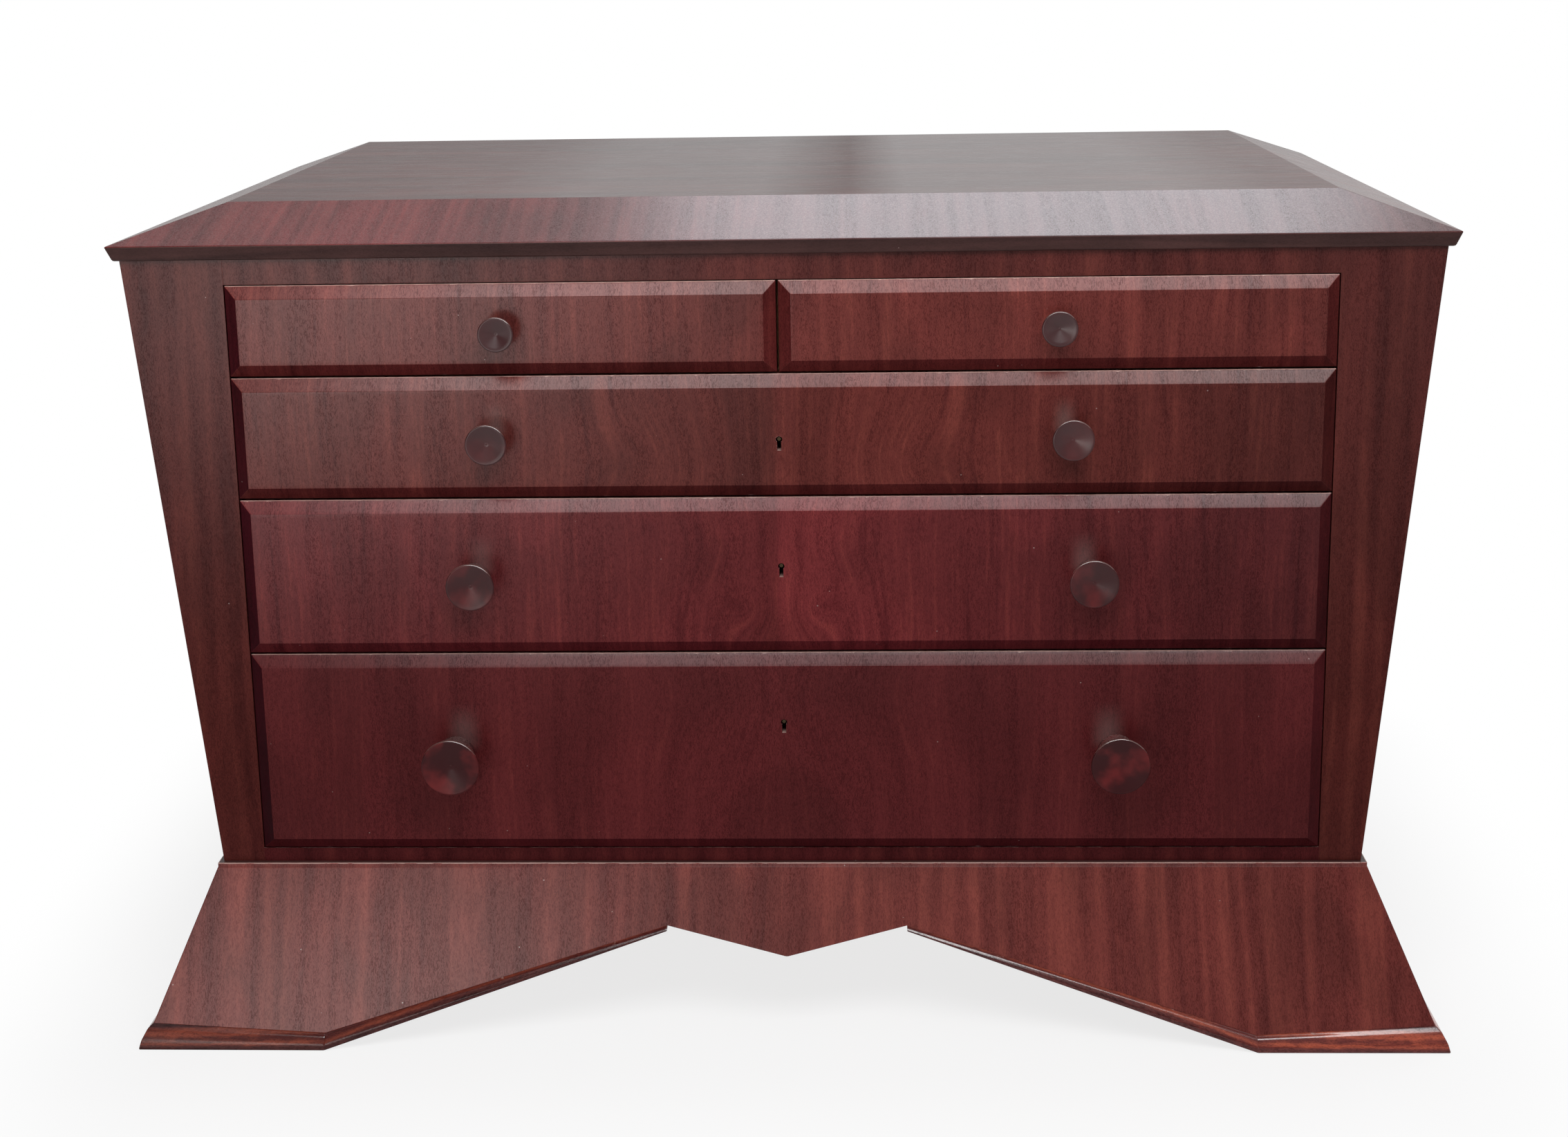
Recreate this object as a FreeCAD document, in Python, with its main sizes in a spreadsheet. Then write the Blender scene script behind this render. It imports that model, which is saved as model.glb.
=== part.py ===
import FreeCAD, Part
import math
import os
import re

import Sketcher
from FreeCAD import Placement, Rotation, Vector

# Chest of drawers with a tapering case, raised drawer fronts and a splayed plinth.
# Millimetres; +Z up, the front faces -Y, the origin is the middle of the footprint on the floor.

SIZES = {
    # top board
    "top_width": 1220,
    "top_overhang": 9,
    "top_end_overhang": 10,
    "bevel_run": 89,
    "bevel_rise": 29,
    "edge_height": 14,
    "edge_inset": 5,
    # case
    "case_bottom_width": 1092,
    "case_depth": 650,
    "side_thickness": 20,
    "stile_width": 40,
    "back_thickness": 12,
    "top_rail_height": 23.5,
    "bottom_rail_height": 13.5,
    "rail_height": 20,
    "rail_depth": 70,
    "shelf_width": 30,
    "guide_height": 22,
    "partition_thickness": 18,
    # drawer fronts
    "front_thickness": 20,
    "small_front_height": 84.5,
    "upper_front_height": 114.5,
    "middle_front_height": 149,
    "lower_front_height": 196,
    "front_gap": 1,
    "between_gap": 2,
    "stop_gap": 0.5,
    "panel_raise": 7.5,
    "panel_bevel": 11.5,
    # drawer boxes
    "box_inset": 2,
    "box_side": 12,
    "box_back": 12,
    "box_back_gap": 28,
    "box_floor": 6,
    "floor_lift": 8,
    "groove_depth": 6,
    "slide_gap": 0.3,
    "guide_gap": 1,
    "head_gap": 4,
    # knobs
    "small_knob_diameter": 32.5,
    "upper_knob_diameter": 38,
    "middle_knob_diameter": 45,
    "lower_knob_diameter": 54.5,
    "small_knob_length": 22,
    "upper_knob_length": 25,
    "middle_knob_length": 29,
    "lower_knob_length": 34,
    "upper_knob_offset": 266,
    "middle_knob_offset": 286,
    "lower_knob_offset": 312,
    "small_knob_neck": 21.5,
    "upper_knob_neck": 25,
    "middle_knob_neck": 29.5,
    "lower_knob_neck": 36,
    "knob_rim": 1.5,
    "knob_dish": 5,
    "knob_tip": 1.5,
    # locks
    "upper_keyhole_drop": 60,
    "middle_keyhole_drop": 64.5,
    "lower_keyhole_drop": 67,
    "keyhole_diameter": 6,
    "keyhole_slot": 3.8,
    "keyhole_drop": 10.4,
    "lock_width": 56,
    "lock_depth": 11,
    "lock_below": 14,
    "lock_gap": 1,
    "lock_wall": 3,
    "pin_diameter": 3.4,
    "pin_setback": 2.5,
    "bolt_width": 20,
    "bolt_height": 16,
    "bolt_throw": 8,
    "bolt_gap": 0.3,
    "mortise_gap": 1.5,
    # plinth
    "base_height": 155.5,
    "base_splay": 63.8,
    "base_thickness": 20,
    "ledge_height": 4,
    "ledge_proud": 5,
    "ledge_width": 45,
    "base_back_drop": 90,
    "foot_length": 166,
    "foot_joint": 21.5,
    "knee_joint": 13.5,
    "peak_offset": 114.5,
    "peak_height": 105,
    "point_height": 78.5,
    "side_peak_height": 65.5,
    "lip_proud": 4.5,
    "lip_end": 3.5,
}

ROWS = ["lower", "middle", "upper", "small"]
LOCKED_ROWS = ["upper", "middle", "lower"]

SIZE_NAME = re.compile(r"\b(" + "|".join(SIZES) + r")\b")

doc = FreeCAD.newDocument("Chest")
nodes = {}


def make_sheet():
    """The driving dimensions, one named cell each."""
    sheet = doc.addObject("Spreadsheet::Sheet", "Sizes")
    for row, (name, size) in enumerate(SIZES.items(), start=1):
        sheet.set(f"A{row}", name)
        sheet.set(f"B{row}", str(size))
        sheet.setAlias(f"B{row}", name)
    doc.recompute()


def cells(text):
    """The expression with each size's name pointing at its cell."""
    return SIZE_NAME.sub(r"Sizes.\1", str(text))


def bind(thing, **properties):
    for name, text in properties.items():
        thing.setExpression(name, cells(text))


def place(thing, x="0", y="0", z="0"):
    for axis, text in zip("xyz", (x, y, z)):
        thing.setExpression(f"Placement.Base.{axis}", cells(text))


def node(label, piece):
    """Names a finished piece as one node of the chest."""
    piece.Label = label
    nodes[label] = piece
    return piece


# Shared places, as expressions of the sizes

BACK = "((lip_proud + base_splay + ledge_proud + case_depth) / 2)"
FACE = f"({BACK} - case_depth)"
STILE_BACK = f"({FACE} + front_thickness + stop_gap)"
RAIL_BACK = f"({STILE_BACK} + rail_depth)"
INSIDE_BACK = f"({BACK} - back_thickness)"
CASE_BOTTOM = "(base_height + ledge_height)"
FLOOR_TOP = f"({CASE_BOTTOM} + bottom_rail_height)"
CASE_HEAD = "(top_width / 2 - top_end_overhang)"
CASE_FOOT = "(case_bottom_width / 2)"
OPENING = f"(min({CASE_HEAD}; {CASE_FOOT}) - stile_width)"
FRONT_HALF = f"({OPENING} - front_gap)"
BOX_HALF = f"({FRONT_HALF} - box_inset)"
FAR = "(top_width + case_depth)"
LOCK_Y = (f"({FACE} + front_thickness)", f"({FACE} + front_thickness + lock_depth)")
BOLT_Y = (f"({LOCK_Y[0]} + lock_wall + bolt_gap)", f"({LOCK_Y[1]} - lock_wall - bolt_gap)")

ROW_BOTTOM = {}
ROW_TOP = {}
RAIL_MIDDLE = {}
RUN_ON = {}
HEADROOM = {}
bottom = f"({FLOOR_TOP} + front_gap)"
run_on = FLOOR_TOP
for row in ROWS:
    ROW_BOTTOM[row] = bottom
    ROW_TOP[row] = f"({bottom} + {row}_front_height)"
    RAIL_MIDDLE[row] = f"({ROW_TOP[row]} + between_gap / 2)"
    RUN_ON[row] = run_on
    HEADROOM[row] = f"({RAIL_MIDDLE[row]} - rail_height / 2)"
    run_on = f"({RAIL_MIDDLE[row]} + rail_height / 2)"
    bottom = f"({ROW_TOP[row]} + between_gap)"
TOP_RAIL_BOTTOM = f"({ROW_TOP['small']} + front_gap)"
HEADROOM["small"] = TOP_RAIL_BOTTOM
CASE_TOP = f"({TOP_RAIL_BOTTOM} + top_rail_height)"


def case_half(z):
    """Half the case's width at a height: its sides lean outward going up."""
    rise = f"(({z}) - {CASE_BOTTOM}) / ({CASE_TOP} - {CASE_BOTTOM})"
    return f"({CASE_FOOT} + ({CASE_HEAD} - {CASE_FOOT}) * {rise})"


def inside_half(z):
    return f"({case_half(z)} - side_thickness)"


def splay_at(z):
    """How far the plinth's outer faces stand out from its top edge at a height."""
    return f"(base_splay * (1 - ({z}) / base_height))"


def base_half(z):
    return f"({CASE_FOOT} + ledge_proud + {splay_at(z)})"


def base_face(z):
    return f"({FACE} - ledge_proud - {splay_at(z)})"


def minus(text):
    return f"(-({text}))"


def both(half):
    return (minus(half), half)


def opposite(span):
    """The same span on the other side of the chest's middle."""
    return (minus(span[1]), minus(span[0]))


# Ways of making a piece

def box(name, x, y, z):
    """A square board between two planes each way."""
    piece = doc.addObject("Part::Box", name)
    spans = [f"({high}) - ({low})" for low, high in (x, y, z)]
    bind(piece, Length=spans[0], Width=spans[1], Height=spans[2])
    place(piece, x[0], y[0], z[0])
    return piece


def leaning(name, z, x_low, x_high, y_low, y_high):
    """A board whose level section runs from x_low by y_low at its foot to x_high by y_high at its head."""
    piece = doc.addObject("Part::Wedge", name)
    bind(piece, Ymin=z[0], Ymax=z[1])
    bind(piece, Xmin=x_low[0], Xmax=x_low[1], X2min=x_high[0], X2max=x_high[1])
    bind(piece, Zmin=minus(y_low[1]), Zmax=minus(y_low[0]))
    bind(piece, Z2min=minus(y_high[1]), Z2max=minus(y_high[0]))
    piece.Placement = Placement(Vector(), Rotation(Vector(1, 0, 0), 90))
    return piece


def rod(name, diameter, x, y, z):
    """A round rod along Y."""
    piece = doc.addObject("Part::Cylinder", name)
    bind(piece, Radius=f"({diameter}) / 2", Height=f"({y[1]}) - ({y[0]})")
    piece.Placement = Placement(Vector(), Rotation(Vector(1, 0, 0), -90))
    place(piece, x, y[0], z)
    return piece


def outline(body, plane, points):
    """A closed outline on one of the body's origin planes, every corner held by its two distances."""
    sketch = body.newObject("Sketcher::SketchObject", body.Name + "Outline")
    origin_plane = [p for p in body.Origin.OriginFeatures if p.Role == plane][0]
    sketch.AttachmentSupport = (origin_plane, "")
    sketch.MapMode = "FlatFace"
    count = len(points)
    turns = [2 * math.pi * i / count for i in range(count)]
    corners = [Vector(math.cos(turn), math.sin(turn)) for turn in turns]
    for i in range(count):
        sketch.addGeometry(Part.LineSegment(corners[i], corners[(i + 1) % count]))
    for i in range(count):
        sketch.addConstraint(Sketcher.Constraint("Coincident", i, 2, (i + 1) % count, 1))
    for i, (across, up) in enumerate(points):
        for way, start, text in (("DistanceX", corners[i].x, across), ("DistanceY", corners[i].y, up)):
            held = sketch.addConstraint(Sketcher.Constraint(way, -1, 1, i, 1, start))
            sketch.setExpression(f"Constraints[{held}]", cells(text))
    return sketch


def prism(name, plane, points, length):
    """An outline padded equally to both sides of its plane."""
    body = doc.addObject("PartDesign::Body", name)
    pad = body.newObject("PartDesign::Pad", name + "Pad")
    sketch = outline(body, plane, points)
    pad.Profile = sketch
    pad.SideType = "Symmetric"
    bind(pad, Length=length)
    body.Tip = pad
    return body


def joined(name, *pieces):
    piece = doc.addObject("Part::MultiFuse", name)
    piece.Shapes = list(pieces)
    piece.Refine = True
    return piece


def less(name, base, tool):
    piece = doc.addObject("Part::Cut", name)
    piece.Base = base
    piece.Tool = tool
    return piece


def shared(name, base, tool):
    piece = doc.addObject("Part::Common", name)
    piece.Base = base
    piece.Tool = tool
    return piece


def mirrored(name, source):
    """The same piece on the other side of the chest's middle."""
    piece = doc.addObject("Part::Mirroring", name)
    piece.Source = source
    piece.Normal = Vector(1, 0, 0)
    return piece


def group(name, pieces):
    piece = doc.addObject("Part::Compound", name)
    piece.Links = list(pieces)
    return piece


# Case

def make_top():
    """A board with a broad slope along the front and both ends, and a short undercut edge below it."""
    arris = f"({CASE_TOP} + edge_height)"
    front = f"({FACE} - top_overhang)"
    half = "(top_width / 2)"
    edge = leaning(
        "TopEdge", (CASE_TOP, arris),
        both(f"({half} - edge_inset)"), both(half),
        (f"({front} + edge_inset)", BACK), (front, BACK))
    slope = leaning(
        "TopSlope", (arris, f"({arris} + bevel_rise)"),
        both(half), both(f"({half} - bevel_run)"),
        (front, BACK), (f"({front} + bevel_run)", BACK))
    node("top_board", joined("TopBoard", edge, slope))


def make_sides():
    height = (CASE_BOTTOM, CASE_TOP)
    foot, head = case_half(CASE_BOTTOM), case_half(CASE_TOP)
    depth = (STILE_BACK, BACK)
    side = leaning(
        "Side", height,
        (minus(foot), minus(inside_half(CASE_BOTTOM))), (minus(head), minus(inside_half(CASE_TOP))),
        depth, depth)
    depth = (FACE, STILE_BACK)
    stile = leaning(
        "Stile", height,
        (minus(foot), minus(OPENING)), (minus(head), minus(OPENING)), depth, depth)
    node("left_side_panel", side)
    node("right_side_panel", mirrored("SideRight", side))
    node("left_stile", stile)
    node("right_stile", mirrored("StileRight", stile))


def across_case(name, z, y):
    """A board that spans the case from side to side, its ends cut to the sides' lean."""
    return leaning(name, z, both(inside_half(z[0])), both(inside_half(z[1])), y, y)


def make_rails():
    front = (FACE, STILE_BACK)
    node("top_rail", box("TopRail", both(OPENING), front, (TOP_RAIL_BOTTOM, CASE_TOP)))
    node("bottom_rail", box("BottomRail", both(OPENING), front, (CASE_BOTTOM, FLOOR_TOP)))
    for row in LOCKED_ROWS:
        middle = RAIL_MIDDLE[row]
        height = (f"({middle} - rail_height / 2)", f"({middle} + rail_height / 2)")
        rail = across_case(row.title() + "Rail", height, (STILE_BACK, RAIL_BACK))
        mortise = box(
            row.title() + "Mortise", both("(bolt_width / 2 + mortise_gap)"),
            (f"({BOLT_Y[0]} - mortise_gap)", f"({BOLT_Y[1]} + mortise_gap)"),
            (height[0], f"({height[0]} + bolt_throw + mortise_gap)"))
        node(f"rail_over_{row}_drawer", less(row.title() + "RailMortised", rail, mortise))


def make_inside():
    """Back, floor, centre partition with its runner, and the side runners with their guides."""
    node("back_panel", across_case("Back", (CASE_BOTTOM, CASE_TOP), (INSIDE_BACK, BACK)))
    node("case_floor", across_case("Floor", (CASE_BOTTOM, FLOOR_TOP), (STILE_BACK, INSIDE_BACK)))
    run_on = RUN_ON["small"]
    partition = box(
        "Partition", both("(partition_thickness / 2)"), (STILE_BACK, INSIDE_BACK), (run_on, CASE_TOP))
    shelf = box(
        "PartitionShelf", both("(partition_thickness / 2 + shelf_width)"),
        (RAIL_BACK, INSIDE_BACK), (f"({run_on} - rail_height)", run_on))
    node("centre_partition", joined("CentrePartition", partition, shelf))
    runners = [side_runner(row) for row in ROWS]
    left = group("Runners", runners)
    node("left_drawer_runners", left)
    node("right_drawer_runners", mirrored("RunnersRight", left))


def side_runner(row):
    """A shelf under the drawer side with an upright guide beside it; the lowest drawer runs on the floor."""
    run_on = RUN_ON[row]
    top = f"({run_on} + guide_height)"
    guide = f"({BOX_HALF} + guide_gap)"
    points = [(guide, top), (inside_half(top), top)]
    if row == "lower":
        points += [(inside_half(run_on), run_on), (guide, run_on)]
        start = STILE_BACK
    else:
        under = f"({run_on} - rail_height)"
        shelf = f"({guide} - shelf_width)"
        points += [(inside_half(under), under), (shelf, under), (shelf, run_on), (guide, run_on)]
        start = RAIL_BACK
    length = f"({INSIDE_BACK} - {start})"
    body = prism(row.title() + "Runner", "XZ_Plane", [(minus(x), z) for x, z in points], length)
    place(body, y=f"({INSIDE_BACK} - {length} / 2)")
    return body


# Drawers

def make_drawer(name, row, x, box_x):
    """One drawer: raised front over x, and two sides, back and floor over box_x, grooved together."""
    stem = name.title().replace("_", "")
    inner = f"({FACE} + front_thickness)"
    end = f"({INSIDE_BACK} - box_back_gap)"
    z = (f"({RUN_ON[row]} + slide_gap)", f"({HEADROOM[row]} - head_gap)")
    left = (box_x[0], f"({box_x[0]} + box_side)")
    right = (f"({box_x[1]} - box_side)", box_x[1])
    floor_z = (f"({z[0]} + floor_lift)", f"({z[0]} + floor_lift + box_floor)")
    floor_x = (f"({left[1]} - groove_depth)", f"({right[0]} + groove_depth)")
    floor_y = (f"({inner} - groove_depth)", end)

    front = raised_front(stem, row, x)
    grooves = box(stem + "Groove", floor_x, floor_y, floor_z)
    node(f"{name}_front", less(stem + "Front", front, grooves))
    for side, across in (("left", left), ("right", right)):
        board = box(stem + side.title(), across, (inner, end), z)
        node(f"{name}_{side}_side", less(f"{stem}{side.title()}Side", board, grooves))
    node(f"{name}_back", box(
        stem + "Back", (left[1], right[0]), (f"({end} - box_back)", end), (floor_z[1], z[1])))
    node(f"{name}_floor", box(stem + "Floor", floor_x, floor_y, floor_z))


def raised_front(stem, row, x):
    """A flat board, with a raised field sloping down to it on all four edges and a keyhole where it locks."""
    z = (ROW_BOTTOM[row], ROW_TOP[row])
    board = box(stem + "Board", x, (FACE, f"({FACE} + front_thickness)"), z)
    field = doc.addObject("Part::Wedge", stem + "Field")
    bind(field, Ymin=f"({FACE} - panel_raise)", Ymax=FACE)
    bind(field, X2min=x[0], X2max=x[1], Z2min=z[0], Z2max=z[1])
    bind(field, Xmin=f"({x[0]} + panel_bevel)", Xmax=f"({x[1]} - panel_bevel)")
    bind(field, Zmin=f"({z[0]} + panel_bevel)", Zmax=f"({z[1]} - panel_bevel)")
    front = joined(stem + "Raised", board, field)
    if row not in LOCKED_ROWS:
        return front
    through = (f"({FACE} - 2 * panel_raise)", f"({FACE} + 2 * front_thickness)")
    eye = keyhole_height(row)
    hole = rod(stem + "Eye", "keyhole_diameter", "0", through, eye)
    slot = box(stem + "Slot", both("(keyhole_slot / 2)"), through, (f"({eye} - keyhole_drop)", eye))
    return less(stem + "Pierced", front, joined(stem + "Keyhole", hole, slot))


def keyhole_height(row):
    return f"({ROW_TOP[row]} - {row}_keyhole_drop)"


def make_lock(row):
    """A box lock on the back of the front, with a pin in the keyhole and a bolt that rises into the rail."""
    stem = row.title() + "Lock"
    eye = keyhole_height(row)
    top = f"({HEADROOM[row]} - lock_gap)"
    bolt_half = "(bolt_width / 2)"
    bolt_low = f"({top} - bolt_height)"
    case = box(stem + "Case", both("(lock_width / 2)"), LOCK_Y, (f"({eye} - lock_below)", top))
    pin_front = f"({FACE} - panel_raise + pin_setback)"
    pin = rod(stem + "Pin", "pin_diameter", "0", (pin_front, LOCK_Y[1]), eye)
    channel = box(
        stem + "Channel", both(f"({bolt_half} + bolt_gap)"),
        (f"({BOLT_Y[0]} - bolt_gap)", f"({BOLT_Y[1]} + bolt_gap)"), (f"({bolt_low} - bolt_gap)", top))
    node(f"{row}_drawer_lock", less(stem, joined(stem + "Solid", case, pin), channel))
    node(f"{row}_drawer_lock_bolt", box(stem + "Bolt", both(bolt_half), BOLT_Y, (bolt_low, top)))


def turned_knob(stem, row, x):
    """A knob that widens to a thin rim, with a dished face and a small tip at its middle."""
    radius = f"({row}_knob_diameter / 2)"
    length = f"{row}_knob_length"
    points = [
        ("0", "0"),
        ("0", f"({row}_knob_neck / 2)"),
        (minus(f"{length} - knob_rim"), radius),
        (minus(length), radius),
        (minus(f"{length} - knob_dish"), "knob_tip"),
        (minus(f"{length} - knob_dish + knob_tip / 2"), "0"),
    ]
    body = doc.addObject("PartDesign::Body", stem)
    turn = body.newObject("PartDesign::Revolution", stem + "Turn")
    sketch = outline(body, "YZ_Plane", points)
    turn.Profile = sketch
    turn.ReferenceAxis = (sketch, ["H_Axis"])
    turn.Angle = 360
    body.Tip = turn
    place(body, x, f"({FACE} - panel_raise)", f"(({ROW_BOTTOM[row]} + {ROW_TOP[row]}) / 2)")
    return body


def make_drawers():
    middle = "(between_gap / 2)"
    partition = "(partition_thickness / 2 + guide_gap)"
    small_x = (middle, FRONT_HALF)
    small_box = (partition, BOX_HALF)
    for side in ("left", "right"):
        name = f"small_{side}_drawer"
        x, box_x = small_x, small_box
        if side == "left":
            x, box_x = opposite(x), opposite(box_x)
        make_drawer(name, "small", x, box_x)
        node(f"{name}_knob", turned_knob(f"SmallKnob{side.title()}", "small", f"(({x[0]} + {x[1]}) / 2)"))
    for row in LOCKED_ROWS:
        name = f"{row}_drawer"
        make_drawer(name, row, both(FRONT_HALF), both(BOX_HALF))
        make_lock(row)
        knob = turned_knob(row.title() + "Knob", row, minus(f"{row}_knob_offset"))
        node(f"{name}_knobs", group(row.title() + "Knobs", [knob, mirrored(row.title() + "KnobRight", knob)]))


# Plinth

def make_plinth():
    corner = front_corner()
    make_ledge()
    make_base_front(corner)
    make_base_sides(corner)
    make_base_back()


def make_base_back():
    """A board between the two side panels, short of the floor."""
    z = ("(base_height - base_back_drop)", "base_height")
    foot, head = [both(f"({base_half(at)} - base_thickness)") for at in z]
    depth = (f"({BACK} - base_thickness)", BACK)
    node("base_back_panel", leaning("BaseBack", z, foot, head, depth, depth))


def front_corner():
    """The space in front of the two mitres where the front of the plinth meets its sides."""
    apex = f"({FACE} + {CASE_FOOT})"
    reach = f"({apex} - {FAR})"
    points = [("0", apex), (minus(FAR), reach), (FAR, reach)]
    return prism("FrontSpace", "XY_Plane", points, "4 * base_height")


def make_ledge():
    """A thin rim under the case that stands a little proud of it on the front and both sides."""
    half = f"({CASE_FOOT} + ledge_proud)"
    front = f"({FACE} - ledge_proud)"
    z = ("base_height", CASE_BOTTOM)
    rim = box("LedgeBoard", both(half), (front, BACK), z)
    depth = (f"({front} + ledge_width)", f"({BACK} - ledge_width)")
    inner = box("LedgeInside", both(f"({half} - ledge_width)"), depth, z)
    node("base_ledge", less("Ledge", rim, inner))


def splayed_front(name, proud):
    """The plinth's leaning front as a slab, standing proud of the panel by the given size."""
    z = ("0", "base_height")
    foot, head = [(f"({base_face(at)} - ({proud}))", f"({base_face(at)} + base_thickness)") for at in z]
    return leaning(name, z, both(FAR), both(FAR), foot, head)


def splayed_side(name, proud):
    """The plinth's leaning left side as a slab."""
    z = ("0", "base_height")
    foot, head = [
        (minus(f"{base_half(at)} + ({proud})"), minus(f"{base_half(at)} - base_thickness")) for at in z]
    depth = (f"({base_face('0')} - lip_proud)", BACK)
    return leaning(name, z, foot, head, depth, depth)


def make_base_front(corner):
    """Front panel cut away below into two feet and a shallow central point, and the lips along its feet."""
    outer = base_half("foot_joint")
    knee = f"({outer} - foot_length)"
    left = [
        (minus(FAR), minus("base_height")), (minus(FAR), "foot_joint"), (minus(outer), "foot_joint"),
        (minus(knee), "knee_joint"), (minus("peak_offset"), "peak_height")]
    right = [(minus(x), z) for x, z in reversed(left)]
    below = prism("BaseFrontBelow", "XZ_Plane", left + [("0", "point_height")] + right, FAR)
    panel = less("BaseFrontCut", splayed_front("BaseFrontSlab", "0"), below)
    node("base_front_panel", shared("BaseFront", panel, corner))

    slab = splayed_front("FrontLipSlab", "lip_proud")
    foot = [
        (minus(FAR), "0"), (minus(knee), "0"), (minus(knee), "knee_joint"),
        (minus(outer), "foot_joint"), (minus(FAR), "foot_joint")]
    slant = [
        (minus(knee), "0"), (minus("peak_offset"), "(peak_height - lip_end)"),
        (minus("peak_offset"), "peak_height"), (minus(knee), "knee_joint")]
    strips = []
    for name, points in (("FrontFootLip", foot), ("FrontSlantLip", slant)):
        strip = shared(name, prism(name + "Outline", "XZ_Plane", points, FAR), slab)
        strips.append(shared(name + "Mitred", strip, corner))
    lips = group("FrontLips", strips)
    node("base_front_left_lip", lips)
    node("base_front_right_lip", mirrored("FrontLipsRight", lips))


def make_base_sides(corner):
    """Side panels cut away below between a front and a back foot, and the lips along them."""
    front = base_face("foot_joint")
    knee = f"({front} + foot_length)"
    back_knee = f"({BACK} - foot_length)"
    peak = f"(({knee} + {back_knee}) / 2)"
    below = prism("BaseSideBelow", "YZ_Plane", [
        (minus(FAR), minus("base_height")), (minus(FAR), "foot_joint"), (front, "foot_joint"),
        (knee, "knee_joint"), (peak, "side_peak_height"), (back_knee, "knee_joint"),
        (BACK, "foot_joint"), (FAR, "foot_joint"), (FAR, minus("base_height"))], "2 * " + FAR)
    panel = less("BaseSideCut", splayed_side("BaseSideSlab", "0"), below)
    side = less("BaseSide", panel, corner)
    node("base_left_panel", side)
    node("base_right_panel", mirrored("BaseSideRight", side))

    slab = splayed_side("SideLipSlab", "lip_proud")
    outlines = {
        "SideFrontFootLip": [
            (minus(FAR), "0"), (knee, "0"), (knee, "knee_joint"),
            (front, "foot_joint"), (minus(FAR), "foot_joint")],
        "SideFrontSlantLip": [
            (knee, "0"), (peak, "(side_peak_height - lip_end)"),
            (peak, "side_peak_height"), (knee, "knee_joint")],
        "SideBackSlantLip": [
            (back_knee, "0"), (back_knee, "knee_joint"), (peak, "side_peak_height"),
            (peak, "(side_peak_height - lip_end)")],
        "SideBackFootLip": [
            (back_knee, "0"), (FAR, "0"), (FAR, "foot_joint"),
            (BACK, "foot_joint"), (back_knee, "knee_joint")],
    }
    strips = []
    for name, points in outlines.items():
        strip = shared(name, prism(name + "Outline", "YZ_Plane", points, "2 * " + FAR), slab)
        strips.append(less(name + "Mitred", strip, corner))
    lips = group("SideLips", strips)
    node("base_left_lip", lips)
    node("base_right_lip", mirrored("SideLipsRight", lips))


def check_and_write():
    """Stops at a failed piece, then writes every node's shape to its own file."""
    doc.recompute()
    for thing in doc.Objects:
        if "Invalid" in thing.State or "Error" in thing.State:
            raise RuntimeError(f"{thing.Label} failed: {thing.State}")
    for label, piece in nodes.items():
        if piece.Shape.isNull() or not piece.Shape.isValid() or not piece.Shape.Solids:
            raise RuntimeError(f"{label} has no sound solid")
    os.makedirs("parts", exist_ok=True)
    for label, piece in nodes.items():
        piece.Shape.exportStep(f"parts/{label}.step")
    print(len(nodes), "nodes written")


make_sheet()
make_top()
make_sides()
make_rails()
make_inside()
make_drawers()
make_plinth()
check_and_write()
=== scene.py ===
import math
from functools import partial, reduce

import bmesh
import bpy
import numpy as np
from mathutils import Matrix, Vector


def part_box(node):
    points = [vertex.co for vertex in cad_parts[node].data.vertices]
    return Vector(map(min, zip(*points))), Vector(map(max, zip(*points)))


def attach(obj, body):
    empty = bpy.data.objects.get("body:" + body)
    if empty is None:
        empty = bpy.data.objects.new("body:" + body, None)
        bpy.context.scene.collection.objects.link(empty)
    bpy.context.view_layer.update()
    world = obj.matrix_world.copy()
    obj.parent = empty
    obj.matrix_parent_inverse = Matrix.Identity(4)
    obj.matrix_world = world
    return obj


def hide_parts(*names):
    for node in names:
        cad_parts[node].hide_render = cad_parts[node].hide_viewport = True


# Chest of drawers with a tapering case, raised drawer fronts and a splayed plinth.
# Metres; +Z up, the front faces -Y, the origin is the middle of the footprint on the floor.

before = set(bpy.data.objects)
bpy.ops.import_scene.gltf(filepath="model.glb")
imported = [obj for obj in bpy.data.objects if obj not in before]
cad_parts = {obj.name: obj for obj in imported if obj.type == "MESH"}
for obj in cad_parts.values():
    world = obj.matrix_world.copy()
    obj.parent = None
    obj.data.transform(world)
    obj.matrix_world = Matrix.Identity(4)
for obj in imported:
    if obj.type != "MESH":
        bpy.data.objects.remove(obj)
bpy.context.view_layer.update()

MM = 0.001

# Sizes of the forms inside a node's box
BEVEL_RUN = 89 * MM
EDGE_HEIGHT = 14 * MM
EDGE_INSET = 5 * MM
PANEL_BEVEL = 11.5 * MM
STILE_WIDTH = 40 * MM
SIDE_THICKNESS = 20 * MM
KEYHOLE_RADIUS = 3 * MM
KEYHOLE_SLOT = 3.8 * MM
KEYHOLE_DROP = 10.4 * MM
LOCK_BELOW = 14 * MM
KNOB_NECK = 0.66
KNOB_RIM = 1.5 * MM
KNOB_DISH = 5 * MM
LEDGE_WIDTH = 45 * MM
BASE_THICKNESS = 20 * MM
LIP_PROUD = 4.5 * MM
LIP_END = 3.5 * MM
LIP_WEAR = 0.6
LIP_NOSE = [(0.75, 0.0), (1.0, 0.4), (0.75, 0.82), (0.2, 1.0)]
FOOT_LENGTH = 166 * MM
FOOT_JOINT = 21.5 * MM
KNEE_JOINT = 13.5 * MM
PEAK_OFFSET = 114.5 * MM
PEAK_HEIGHT = 105 * MM
POINT_HEIGHT = 78.5 * MM
SIDE_PEAK_HEIGHT = 65.5 * MM
POINT_RADIUS = 9 * MM
BASE_CORNER = 0.6 * MM

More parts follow.
